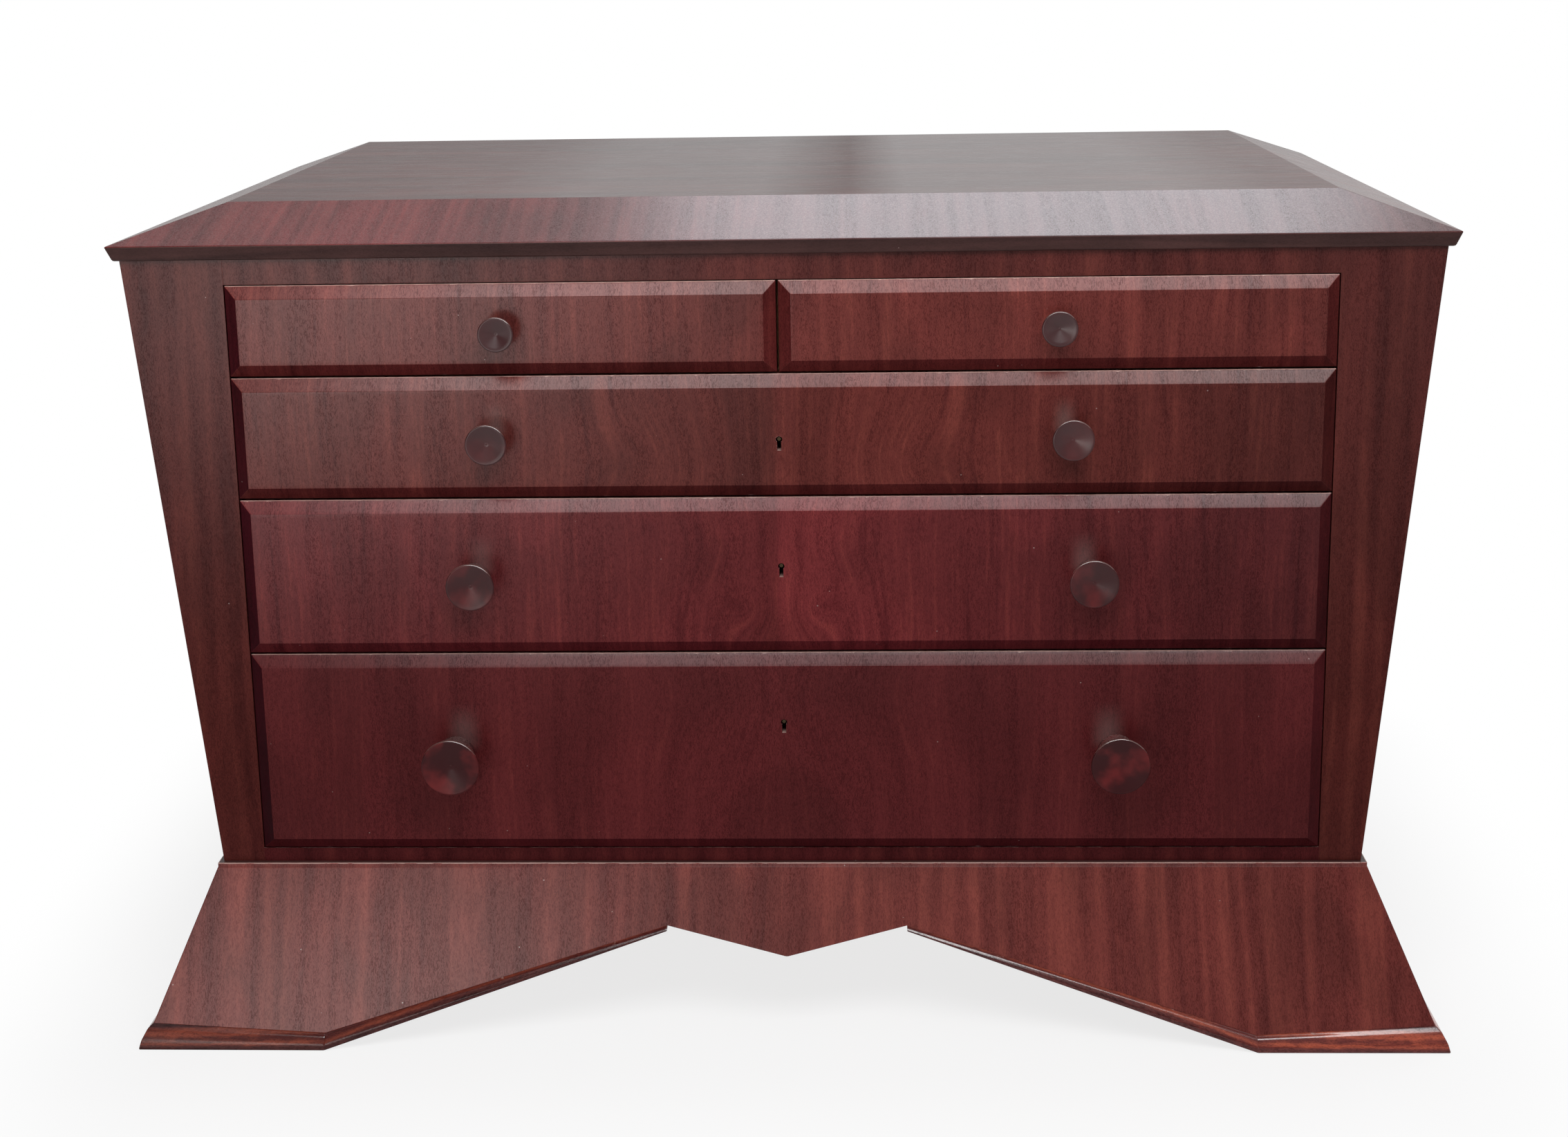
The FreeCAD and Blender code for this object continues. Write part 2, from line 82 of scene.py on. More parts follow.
# Places that the frame gives
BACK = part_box("top_board")[1].y
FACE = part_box("left_stile")[0].y
BASE_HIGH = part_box("base_ledge")[0].z
BASE_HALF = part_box("base_ledge")[1].x
BASE_FACE = -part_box("base_ledge")[0].y
BASE_SPLAY = -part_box("base_front_left_lip")[0].y - LIP_PROUD - BASE_FACE
BASE_LEAN = math.cos(math.atan2(BASE_SPLAY, BASE_HIGH))

# Fineness of the rounded edges
CORNER_STEPS = 3
RING_POINTS = 4 * (CORNER_STEPS + 3)
EASE_STEPS = 4
SUPPORT = 1.2 * MM
SUPPORT_SHARE = 0.3
INNER_RING_SHARE = 0.6
FLUSH_EASE = 0.12 * MM
SHARP_ANGLE = math.radians(40)
KNOB_POINTS = 72
FLOOR_POINTS = 64


# Surfaces

def eased(corners, radii, fade=SUPPORT, wear=1.0):
    """A profile with its inner corners rounded: from tangent point A round the corner B to tangent point C
    it follows (1-s)(1-s) A + 2s(1-s) B + s s C. Returns the points, and how worn each one is: wear on a
    rounding, nothing elsewhere."""
    corners = np.array(corners, float)
    way = np.diff(corners, axis=0)
    way /= np.linalg.norm(way, axis=1, keepdims=True)
    arriving, leaving, middle = way[:-1], way[1:], corners[1:-1]
    turn = np.arccos(np.clip((arriving * leaving).sum(1), -1, 1))
    reach = (np.array(radii) * np.tan(turn / 2))[:, None]
    start = middle - arriving * reach
    end = middle + leaving * reach
    s = np.linspace(0, 1, EASE_STEPS + 1)[None, :, None]
    arc = (1 - s) ** 2 * start[:, None] + 2 * s * (1 - s) * middle[:, None] + s ** 2 * end[:, None]
    before = (start - arriving * fade)[:, None]
    after = (end + leaving * fade)[:, None]
    rounded = np.concatenate([before, arc, after], axis=1)
    worn = np.zeros((len(middle), EASE_STEPS + 3))
    worn[:, 1:-1] = np.broadcast_to(wear, len(middle))[:, None]
    points = np.concatenate([corners[:1], rounded.reshape(-1, 2), corners[-1:]])
    return points, np.concatenate([[0], worn.ravel(), [0]])


def ring(corners, insets, radii):
    """A closed outline moved inwards with rounded corners: each side moves by its own inset, an arc has its
    centre one radius from both moved sides and turns from the one side's normal to the other's."""
    corners = np.array(corners, float)
    count = len(corners)
    side = np.roll(corners, -1, 0) - corners
    length = np.linalg.norm(side, axis=1)
    along = side / length[:, None]
    inward = np.stack([-along[:, 1], along[:, 0]], axis=1)
    last_along, last_inward = np.roll(along, 1, 0), np.roll(inward, 1, 0)
    sine = last_along[:, 0] * along[:, 1] - last_along[:, 1] * along[:, 0]
    bend = np.sign(sine) * np.broadcast_to(radii, count)
    inset = np.broadcast_to(insets, count) + bend
    last_inset = np.roll(np.broadcast_to(insets, count), 1) + bend
    move_x = (last_inset * inward[:, 1] - inset * last_inward[:, 1]) / sine
    move_y = (inset * last_inward[:, 0] - last_inset * inward[:, 0]) / sine
    centre = corners + np.stack([move_x, move_y], axis=1)
    cosine = (last_along * along).sum(1)
    start = np.arctan2(-last_inward[:, 1], -last_inward[:, 0])
    sweep = np.arctan2(sine, cosine)
    angle = start[:, None] + sweep[:, None] * np.linspace(0, 1, CORNER_STEPS + 1)
    arc = centre[:, None] + bend[:, None, None] * np.stack([np.cos(angle), np.sin(angle)], axis=2)
    support = np.minimum(SUPPORT, SUPPORT_SHARE * length)
    before = arc[:, :1] - (last_along * np.roll(support, 1)[:, None])[:, None]
    after = arc[:, -1:] + (along * support[:, None])[:, None]
    return np.concatenate([before, arc, after], axis=1).reshape(-1, 2)


def soft_radii(corners, share=0.2):
    """Radii for a closed outline whose roundings each take up a share of the shorter side that meets there:
    the radius is that length over the tangent of half the turn."""
    side = np.roll(corners, -1, 0) - corners
    length = np.linalg.norm(side, axis=1)
    along = side / length[:, None]
    turn = np.arccos(np.clip((np.roll(along, 1, 0) * along).sum(1), -1, 1))
    return share * np.minimum(length, np.roll(length, 1)) / np.tan(turn / 2)


def shell(rings, worn, looped=False, grain=None):
    """A stack of rings with how worn each ring is; a looped stack closes on itself and needs no ends. grain
    holds how far along and across the grain each point lies, for a piece that carries it."""
    rings = np.array(rings)
    rows, columns, _ = rings.shape
    if grain is None:
        grain = np.zeros((rows, columns, 2))
    return {"rings": rings, "looped": looped, "worn": np.repeat(worn, columns),
            "grain_along": grain[..., 0].ravel(), "grain_across": grain[..., 1].ravel()}


def skin(shells):
    """Points and faces of closed shells: four-sided faces between neighbouring rings and a flat face over
    each end."""
    faces = []
    first = 0
    for part in shells:
        rows, columns, _ = part["rings"].shape
        ids = first + np.arange(rows * columns).reshape(rows, columns)
        lower = ids if part["looped"] else ids[:-1]
        upper = np.roll(ids, -1, 0) if part["looped"] else ids[1:]
        quads = np.stack([lower, np.roll(lower, -1, 1), np.roll(upper, -1, 1), upper], axis=2)
        faces += quads.reshape(-1, 4).tolist()
        if not part["looped"]:
            faces += [ids[0][::-1].tolist(), ids[-1].tolist()]
        first += rows * columns
    return np.concatenate([part["rings"].reshape(-1, 3) for part in shells]), faces


def solid(name, body, material, shells, nodes):
    """One piece from closed shells, which takes the place of the named nodes on a body."""
    points, faces = skin(shells)
    mesh = bpy.data.meshes.new(name)
    mesh.from_pydata(points, [], faces)
    for label in ("worn", "grain_along", "grain_across"):
        values = np.concatenate([part[label] for part in shells])
        mesh.attributes.new(label, "FLOAT", "POINT").data.foreach_set("value", values.astype(np.float32))
    face_outwards(mesh)
    mesh.shade_smooth()
    mesh.set_sharp_from_angle(angle=SHARP_ANGLE)
    piece = bpy.data.objects.new(name, mesh)
    bpy.context.scene.collection.objects.link(piece)
    mesh.materials.append(material)
    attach(piece, body)
    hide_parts(*nodes)
    return piece


def face_outwards(mesh):
    """Turns every face of the closed shells to look out."""
    work = bmesh.new()
    work.from_mesh(mesh)
    bmesh.ops.recalc_face_normals(work, faces=work.faces)
    work.to_mesh(mesh)
    work.free()


def face_rows(piece, label):
    """The normal or the center of each face of a piece, one row per face."""
    rows = np.empty(3 * len(piece.data.polygons))
    piece.data.polygons.foreach_get(label, rows)
    return rows.reshape(-1, 3)


def finish_faces(piece, chosen, material):
    """Gives the chosen faces of a piece one more finish."""
    faces = piece.data.polygons
    index = np.empty(len(faces), np.int32)
    faces.foreach_get("material_index", index)
    index[chosen] = len(piece.data.materials)
    piece.data.materials.append(material)
    faces.foreach_set("material_index", index)


def upright(points, depth):
    """Outline points (x, z) set at one depth y."""
    return np.stack([points[:, 0], np.broadcast_to(depth, len(points)), points[:, 1]], axis=1)


def rectangle(low, high, axes):
    """The four corners of a box's outline in two of its axes."""
    (left, right), (bottom, top) = [(getattr(low, axis), getattr(high, axis)) for axis in axes]
    return [(left, bottom), (right, bottom), (right, top), (left, top)]


def level(points, height):
    """Outline points (x, y) set at one height z."""
    return np.column_stack([points, np.full(len(points), height)])


def board(corners, depths, ease=0.8 * MM, corner=0.6 * MM):
    """A board whose outline (x, z) runs straight back between two depths, with all its edges eased."""
    front, back = depths
    inner = 8 * SUPPORT
    profile, worn = eased([(inner, front), (0, front), (0, back), (inner, back)], [ease, ease])
    half_width = np.ptp(np.array(corners), axis=0).min() / 2
    profile[:, 0] = np.minimum(profile[:, 0], INNER_RING_SHARE * half_width)
    return shell([upright(ring(corners, inset, corner), depth) for inset, depth in profile], worn)


# Shader building

def feed(socket, value):
    """Links an output to an input socket, or sets the socket's own value."""
    if isinstance(value, bpy.types.NodeSocket):
        socket.id_data.links.new(value, socket)
    else:
        socket.default_value = value


def add(tree, kind, inputs=(), **settings):
    """One node with its settings; inputs maps socket names or numbers to values or outputs."""
    made = tree.nodes.new("ShaderNode" + kind)
    for key, value in settings.items():
        setattr(made, key, value)
    for key, value in dict(inputs).items():
        feed(made.inputs[key], value)
    return made


def tree_of(values):
    """The node tree that the first output among some values belongs to."""
    return next(value.id_data for value in values if isinstance(value, bpy.types.NodeSocket))


def maths(operation, *values):
    """One sum on numbers and outputs."""
    return add(tree_of(values), "Math", enumerate(values), operation=operation).outputs[0]


times, plus, minus = [partial(maths, operation) for operation in ("MULTIPLY", "ADD", "SUBTRACT")]


def spread(value, low, high, to_low=0.0, to_high=1.0):
    """A soft step from low to high."""
    inputs = {"Value": value, "From Min": low, "From Max": high, "To Min": to_low, "To Max": to_high}
    return add(value.id_data, "MapRange", inputs, interpolation_type="SMOOTHSTEP").outputs[0]


def noise(place, scale=1.0, detail=2.0, roughness=0.5, distortion=0.0):
    """Soft random values from 0 to 1."""
    inputs = {"Vector": place, "Scale": scale, "Detail": detail, "Roughness": roughness,
              "Distortion": distortion}
    return add(place.id_data, "TexNoise", inputs).outputs["Fac"]


def hypotenuse(x, y):
    """The length of a step of x and y."""
    squares = [times(side, side) for side in (x, y)]
    return maths("SQRT", plus(*squares))


def vector(x, y, z):
    """Three coordinates as one place; the first is an output."""
    return add(x.id_data, "CombineXYZ", {"X": x, "Y": y, "Z": z}).outputs[0]


def blend(factor, first, second, mode="MIX"):
    """Two colours mixed by a factor."""
    made = add(tree_of((factor, first, second)), "Mix", data_type="RGBA", blend_type=mode)
    for socket, value in zip((made.inputs[0], made.inputs[6], made.inputs[7]), (factor, first, second)):
        feed(socket, value)
    return made.outputs[2]


def attribute(tree, name):
    """A value that the points of a piece carry."""
    return add(tree, "Attribute", attribute_name=name).outputs["Fac"]


def object_axes(tree):
    """The three object coordinates, one output each."""
    place = add(tree, "TexCoord").outputs["Object"]
    return add(tree, "SeparateXYZ", {0: place}).outputs


def facing(tree):
    """The three parts of the direction that a face looks in."""
    return add(tree, "SeparateXYZ", {0: add(tree, "NewGeometry").outputs["Normal"]}).outputs


def screen_colour(red, green, blue):
    """A colour as it is read on a screen, 0 to 255, made linear."""
    shares = np.array([red, green, blue]) / 255
    linear = np.where(shares <= 0.04045, shares / 12.92, ((shares + 0.055) / 1.055) ** 2.4)
    return (*linear.tolist(), 1.0)


def shader_group(name, inputs, outputs):
    """A group with named number sockets; returns its tree, what comes in and where results go."""
    tree = bpy.data.node_groups.new(name, "ShaderNodeTree")
    for way, labels in (("INPUT", inputs), ("OUTPUT", outputs)):
        for label in labels:
            tree.interface.new_socket(label, in_out=way, socket_type="NodeSocketFloat")
    return tree, tree.nodes.new("NodeGroupInput").outputs, tree.nodes.new("NodeGroupOutput").inputs


def set_inputs(node, **values):
    """Feeds inputs of a node by their names."""
    for label, value in values.items():
        feed(node.inputs[label.replace("_", " ").title()], value)


def use_group(tree, group, **values):
    """Places a group in a material with its own values and gives its outputs."""
    made = add(tree, "Group", node_tree=group)
    set_inputs(made, **values)
    return made.outputs


# Effects that several finishes share

def make_ribbon_grain():
    """Quartered wood: broad soft ribbons, fine lines and short dark pores, all drawn out along the grain."""
    sway_reach = 0.03
    low, high = 0.3, 0.7
    tree, given, result = shader_group(
        "ribbon_grain", ["Across", "Fibre", "Along", "Seed", "Ribbon Width"],
        ["Ribbon", "Lines", "Pores", "Mottle", "Clouds"])
    across, along, seed = given["Across"], given["Along"], given["Seed"]

    def streaks(side, per_metre, along_metre, detail, roughness=0.5, distortion=0.0):
        """Random values that change so often in a metre across the grain and along it."""
        place = vector(times(side, per_metre), times(along, along_metre), seed)
        return noise(place, 1.0, detail, roughness, distortion)

    sway = minus(streaks(across, per_metre=9.0, along_metre=2.2, detail=1.0), 0.5)
    swayed = plus(across, times(sway, sway_reach))
    stripes = maths("DIVIDE", 1.0, given["Ribbon Width"])
    ribbon = spread(streaks(swayed, stripes, along_metre=1.6, detail=1.5), low, high)
    lines = streaks(swayed, per_metre=260.0, along_metre=9.0, detail=3.0)
    clouds = streaks(swayed, per_metre=14.0, along_metre=6.0, detail=2.0, distortion=0.8)
    mottle = streaks(swayed, per_metre=110.0, along_metre=26.0, detail=3.0, roughness=0.6, distortion=1.0)
    flecks = streaks(given["Fibre"], per_metre=850.0, along_metre=210.0, detail=2.0, roughness=0.6,
                     distortion=1.8)
    fewer_on_ribbons = spread(ribbon, 0.0, 1.0, 1.0, 0.6)
    feed(result["Ribbon"], ribbon)
    feed(result["Pores"], times(spread(flecks, 0.45, 0.6), fewer_on_ribbons))
    for label, values in (("Lines", lines), ("Clouds", clouds), ("Mottle", mottle)):
        feed(result[label], spread(values, low, high))
    return tree


def make_edge_wear():
    """Broken worn patches along the edges that a piece marks as worn; where they are marked strongly, the
    pale patches are a painted highlight.
    """
    soft_edge = 0.12
    tree, given, result = shader_group("edge_wear_and_highlight", ["Amount", "Size"], ["Mask"])
    place = add(tree, "TexCoord").outputs["Object"]
    patches = noise(place, maths("DIVIDE", 1.0, given["Size"]), detail=4.0, roughness=0.65)
    amount = times(attribute(tree, "worn"), given["Amount"])
    over = minus(plus(patches, amount), 1.0)
    feed(result["Mask"], spread(over, 0.0, soft_edge))
    return tree


def make_dust():
    """Pale specks scattered over a surface, and a thin film where it faces up, more than Film Start."""
    cells_per_metre, emptiest, largest_speck = 90.0, 0.8, 0.06
    grit_per_metre, level_facing = 700.0, 0.97
    tree, given, result = shader_group("dust", ["Specks", "Film", "Film Start"], ["Mask"])
    place = add(tree, "TexCoord").outputs["Object"]
    cells = add(tree, "TexVoronoi", {"Vector": place, "Scale": cells_per_metre, "Randomness": 1.0})
    chance = add(tree, "SeparateColor", {0: cells.outputs["Color"]}).outputs
    size = times(spread(chance[0], emptiest, 1.0), largest_speck)
    speck = times(maths("LESS_THAN", cells.outputs["Distance"], size), given["Specks"])
    grit = spread(noise(place, grit_per_metre, detail=2.0, roughness=0.7), 0.35, 0.75)
    upward = spread(facing(tree)["Z"], given["Film Start"], level_facing)
    film = times(times(upward, grit), given["Film"])
    feed(result["Mask"], maths("MAXIMUM", speck, film))
    return tree


RIBBON_GRAIN = make_ribbon_grain()
EDGE_WEAR = make_edge_wear()
DUST = make_dust()

# What runs across the grain and along it
STRIP_GRAIN = ("grain_across", "grain_along")
UPRIGHT_GRAIN = ("round the case", "Z")
LONG_GRAIN = ("YZ", "X")
DEEP_GRAIN = ("XZ", "Y")

# Values that several finishes share
# Pale worn wood, also the colour of painted highlights on strongly marked edges
WORN_AND_HIGHLIGHT_WOOD = screen_colour(166, 132, 124)
# Dust's pale grey, also the colour of the painted reflection above the wide drawers' knobs
DUST_AND_REFLECTION_GREY = screen_colour(176, 158, 154)
# How strong the painted reflection above each knob is
KNOB_PAINTED_REFLECTION = 0.14
DULL_BELOW = 0.25
FULL_ABOVE = 0.7
WORN_LOW = (0.1, 0.55)


# Finishes

def new_finish(name, specular, lacquer_roughness=0.3, lacquer_index=1.5):
    """A material with its shader; gives the material, its tree and its shader."""
    material = bpy.data.materials.new(name)
    material.use_nodes = True
    shader = material.node_tree.nodes["Principled BSDF"]
    shader.inputs["Specular IOR Level"].default_value = specular
    shader.inputs["Coat Roughness"].default_value = lacquer_roughness
    shader.inputs["Coat IOR"].default_value = lacquer_index
    return material, material.node_tree, shader


def by_height(tree, low, high):
    """A value that goes from low near the case's foot to high near its top."""
    return spread(object_axes(tree)["Z"], DULL_BELOW, FULL_ABOVE, low, high)


def painted_slope_shade_mask(tree):
    """Where shade is painted on a drawer front's slopes: darkest on the slope at the case's left end, less
    on the other slopes that look left, right or down."""
    flat, sloped = 0.2, 0.45
    end_from, end_to = -0.48, -0.44
    end_shade, left_shade, right_shade, low_shade = 0.85, 0.4, 0.4, 0.45
    faces = facing(tree)
    darkest_slope = spread(object_axes(tree)["X"], end_from, end_to, end_shade, left_shade)
    left = times(spread(faces["X"], -sloped, -flat, 1.0, 0.0), darkest_slope)
    right = spread(faces["X"], flat, sloped, 0.0, right_shade)
    below = spread(faces["Z"], -sloped, -flat, low_shade, 0.0)
    return maths("MAXIMUM", maths("MAXIMUM", left, right), below)


def painted_reflection_above_knobs(tree, node):
    """Where a front carries a painted reflection: a pale smear just inside each knob of a node that fades
    out above it, counted in radii of the knob."""
    inward, half_width = 0.3, 0.75
    full_from, full_to, gone = 0.5, 0.6, 2.0
    low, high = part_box(node)
    radius = (high.z - low.z) / 2
    middle = high.x - (1 + inward) * radius
    place = object_axes(tree)
    beside = minus(maths("ABSOLUTE", place["X"]), middle)
    above = minus(place["Z"], low.z + radius)
    narrow = spread(maths("ABSOLUTE", beside), 0.0, half_width * radius, 1.0, 0.0)
    growing = spread(above, 0.0, full_from * radius)
    fading = spread(above, full_to * radius, gone * radius, 1.0, 0.0)
    return times(narrow, times(growing, fading))


def along_front(tree, levels):
    """A factor that changes evenly between (place, factor) pairs from left to right. The ramp holds half of
    each factor, because a ramp's values end at 1."""
    widest = 0.65
    place = add(tree, "MapRange", {"Value": object_axes(tree)["X"], "From Min": -widest, "From Max": widest})
    ramp = add(tree, "ValToRGB", {0: place.outputs[0]})
    stops = ramp.color_ramp.elements
    while len(stops) < len(levels):
        stops.new(0.5)
    for stop, (x, factor) in zip(stops, levels):
        stop.position = (x + widest) / (2 * widest)
        stop.color = (factor / 2, factor / 2, factor / 2, 1.0)
    return times(ramp.outputs["Color"], 2.0)


def grain_place(tree, axes):
    """Where a point lies across and along the grain: for each, the sum of the coordinates that are named, or
    on a strip the values that it carries. Upright grain goes round the case: X across the front and back, Y
    across the ends."""
    end_facing = 0.75
    if axes == STRIP_GRAIN:
        return [attribute(tree, name) for name in axes]
    place = object_axes(tree)
    if axes == UPRIGHT_GRAIN:
        on_end = maths("GREATER_THAN", maths("ABSOLUTE", facing(tree)["X"]), end_facing)
        across = add(tree, "Mix", {0: on_end, 2: place["X"], 3: place["Y"]}).outputs[0]
        return [across, place["Z"]]
    return [reduce(plus, [place[name] for name in names]) for names in axes]


def scaled(colour, factor):
    """A colour made lighter or darker."""
    return tuple(factor * part for part in colour[:3]) + (1.0,)


def wood_colour(grain, in_pores, tones, shade, shares, contrast):
    """The grain in its three tones: ribbons and fine lines by their shares and mottle as the rest, with dark
    pores and soft clouds over it."""
    pore_shade, cloud_dark, cloud_light = 0.45, 0.86, 1.1
    dark, middle, light = [scaled(tone, shade) for tone in tones]
    tone = 0.5 * (1 - contrast)
    for label, share in zip(("Ribbon", "Lines", "Mottle"), (*shares, 1 - sum(shares))):
        tone = plus(times(grain[label], contrast * share), tone)
    colour = blend(spread(tone, 0.0, 0.5), dark, middle)
    colour = blend(spread(tone, 0.5, 1.0), colour, light)
    colour = blend(in_pores, colour, scaled(dark, pore_shade))
    clouds = spread(grain["Clouds"], 0.0, 1.0, cloud_dark, cloud_light)
    return blend(1.0, colour, clouds, "MULTIPLY")


def upper_edge_wear_and_highlight(tree):
    """Worn patches on the eased edges, most on those that face up; on strongly marked edges, a front's
    arris, a keyhole's lip and the ledge's nose, the pale patches are a painted highlight.
    """
    up_from, up_to, least, most = 0.5, 0.85, 0.26, 0.6
    amount = spread(facing(tree)["Z"], up_from, up_to, least, most)
    return use_group(tree, EDGE_WEAR, amount=amount, size=0.012)["Mask"]


def lacquer_weight(tree, in_pores, gloss, sheen, rubbed):
    """How full the lacquer is: by height and from left to right, more where wood faces up, less in pores."""
    up_from, up_to, left_in_pores = 0.35, 0.75, 0.2
    lacquer = by_height(tree, *gloss)
    if sheen:
        lacquer = times(lacquer, along_front(tree, sheen))
    lacquer = plus(lacquer, spread(facing(tree)["Z"], up_from, up_to, 0.0, rubbed))
    return times(lacquer, spread(in_pores, 0.0, 1.0, 1.0, left_in_pores))


def painted_slope_light_and_shade(tree, colour, lacquer):
    """A front's slopes with painted light and shade: the upper one painted lighter, most so high on the
    case, the others painted dark and left bare of lacquer.
    """
    slope_from, slope_to, bare_from = 0.3, 0.5, 0.4
    painted_shade_tint = (0.25, 0.06, 0.28, 1.0)
    lightest = by_height(tree, 1.05, 1.35)
    painted_slope_light = spread(facing(tree)["Z"], slope_from, slope_to, 1.0, lightest)
    colour = blend(1.0, colour, painted_slope_light, "MULTIPLY")
    slope_shade = painted_slope_shade_mask(tree)
    covered = spread(slope_shade, 0.0, bare_from, 1.0, 0.0)
    return blend(slope_shade, colour, painted_shade_tint, "MULTIPLY"), times(lacquer, covered)


def timber(name, axes, seed, width, tones, shade=1.0, roughness=0.3, index=1.5, gloss=(0.6, 0.6), rubbed=0.8,
           sheen=None, figure=None, levels=None, specks=0.4, film=0.0, pores=0.6, relief=0.12, bands=0.65,
           lines=0.15, contrast=1.0, front=False, knobs=None):
    """Lacquered wood. axes run across and along its grain, width is that of its ribbons, and shade scales
    its tones. roughness and index are the lacquer's; gloss is how full it is low and high on the case, and
    rubbed is added where the wood faces up. From left to right, sheen scales gloss and levels scale the
    colour. figure bends the grain; specks and film are dust; relief is how deep the pores look; bands and
    lines are the shares of ribbons and fine lines. A front has painted light and shade on its slopes, and a
    painted reflection, a pale smear, above its knobs."""
    specular, film_start, pore_depth = 0.02, 0.8, 0.2 * MM
    under_rough, mottle_rough, worn_rough = 0.05, 0.1, 0.2
    material, tree, shader = new_finish(name, specular, roughness, index)
    across, along = grain_place(tree, axes)
    bent = figure(across, along) if figure else across
    grain = use_group(tree, RIBBON_GRAIN, across=bent, fibre=across, along=along, seed=seed,
                      ribbon_width=width)
    in_pores = times(grain["Pores"], pores)
    colour = wood_colour(grain, in_pores, tones, shade, (bands, lines), contrast)
    if levels:
        colour = blend(1.0, colour, along_front(tree, levels), "MULTIPLY")
    # Worn patches on edges; on a front's arris, a keyhole's lip and the ledge's nose they are a painted
    # highlight
    wear = upper_edge_wear_and_highlight(tree)
    colour = blend(wear, colour, WORN_AND_HIGHLIGHT_WOOD)
    lacquer = lacquer_weight(tree, in_pores, gloss, sheen, rubbed)
    # Painted light and shade on a front's slopes
    if front:
        colour, lacquer = painted_slope_light_and_shade(tree, colour, lacquer)
    # A painted reflection: a pale smear above each knob
    if knobs:
        colour = blend(times(painted_reflection_above_knobs(tree, knobs), KNOB_PAINTED_REFLECTION), colour, DUST_AND_REFLECTION_GREY)
    dust = use_group(tree, DUST, specks=specks, film=film, film_start=film_start)["Mask"]
    rough = plus(times(grain["Mottle"], mottle_rough), roughness + under_rough)
    rough = plus(rough, times(wear, worn_rough))
    bump = add(tree, "Bump", {"Strength": relief, "Distance": pore_depth, "Height": grain["Pores"]},
               invert=True)
    set_inputs(shader, base_color=blend(dust, colour, DUST_AND_REFLECTION_GREY), roughness=rough,
               coat_weight=maths("MINIMUM", lacquer, 1.0), normal=bump.outputs[0])
    return material


def rise(across, along, middle, size, height):
    """A smooth hill on the grain's coordinate: its height times e to the minus square of the distance, which
    is counted in sizes."""
    x = maths("DIVIDE", minus(across, middle[0]), size[0])
    z = maths("DIVIDE", minus(along, middle[1]), size[1])
    square = plus(times(x, x), times(z, z))
    return times(maths("EXPONENT", times(square, -1.0)), height)


def book_matched(hills):
    """Two mirrored leaves that meet at the middle, with the grain bent round each hill: its middle, size and
    height."""
    def figure(across, along):
        """The place across the grain, bent."""
        leaf = maths("ABSOLUTE", across)
        bent = leaf
        for middle, size, height in hills:
            bent = plus(bent, rise(leaf, along, middle, size, height))
        return bent
    return figure


# Dark, middle and light tone of each wood
CRIMSON = [screen_colour(80, 26, 29), screen_colour(96, 35, 37), screen_colour(112, 45, 44)]
BROWN = [screen_colour(79, 30, 28), screen_colour(95, 40, 36), screen_colour(111, 51, 44)]
STRIP = [screen_colour(56, 19, 21), screen_colour(98, 40, 36), screen_colour(164, 78, 56)]
UNDER_EDGE = [screen_colour(54, 33, 32), screen_colour(64, 40, 38), screen_colour(74, 47, 45)]

# Case, top and plinth
CASE_VENEER = timber(
    "case_veneer", UPRIGHT_GRAIN, 3.1, 0.018, BROWN, shade=0.75, gloss=(0.06, 0.4),
    levels=[(-0.6, 0.97), (0.2, 0.93), (0.6, 0.9)])
LOW_RAIL_VENEER = timber(
    "low_rail_veneer", UPRIGHT_GRAIN, 3.1, 0.018, CRIMSON, shade=0.58, gloss=(0.03, 0.03))
TOP_VENEER = timber(
    "top_veneer", LONG_GRAIN, 2.4, 0.03, BROWN, shade=0.6, roughness=0.2, gloss=(0.86, 0.86), rubbed=0.0,
    film=0.1, pores=0.2, levels=[(-0.6, 1.3), (-0.3, 1.2), (0.0, 0.9), (0.3, 0.95), (0.6, 1.25)],
    sheen=[(-0.4, 0.6), (-0.29, 0.7), (-0.19, 1.06), (-0.02, 1.08), (0.065, 0.45), (0.12, 1.16),
           (0.36, 1.08), (0.47, 0.66)])
SLOPE_VENEER = timber(
    "slope_veneer", ("X", "Y"), 6.6, 0.01, CRIMSON, shade=0.7, gloss=(0.3, 0.3), film=0.2, pores=0.5,
    relief=0.35, levels=[(-0.6, 1.6), (-0.42, 2.0), (-0.2, 1.35), (0.1, 0.65), (0.4, 0.65), (0.6, 0.7)])
EDGE_WOOD = timber("edge_wood", LONG_GRAIN, 8.3, 0.006, UNDER_EDGE, gloss=(0.3, 0.3), pores=0.3)
# The ledge's nose: wood painted much lighter as its highlight
ARRIS_PAINTED_HIGHLIGHT = timber(
    "arris_painted_highlight", LONG_GRAIN, 4.8, 0.004, BROWN, shade=2.4, roughness=0.25, gloss=(1.0, 1.0))
BASE_VENEER = timber(
    "base_veneer", UPRIGHT_GRAIN, 5.3, 0.016, BROWN, shade=1.35, specks=0.8,
    sheen=[(-0.6, 1.1), (-0.2, 1.45), (0.1, 1.4), (0.6, 0.75)],
    levels=[(-0.6, 1.15), (-0.2, 1.03), (0.1, 1.0), (0.6, 0.97)])
LIP_WOOD = timber(
    "lip_wood", STRIP_GRAIN, 1.5, 0.009, STRIP, roughness=0.2, index=1.9, specks=0.8, bands=0.7, lines=0.05,
    sheen=[(-0.6, 0.3), (-0.2, 0.35), (0.2, 0.5), (0.6, 0.5)],
    levels=[(-0.6, 0.64), (-0.2, 0.66), (0.2, 0.9), (0.6, 1.28)])

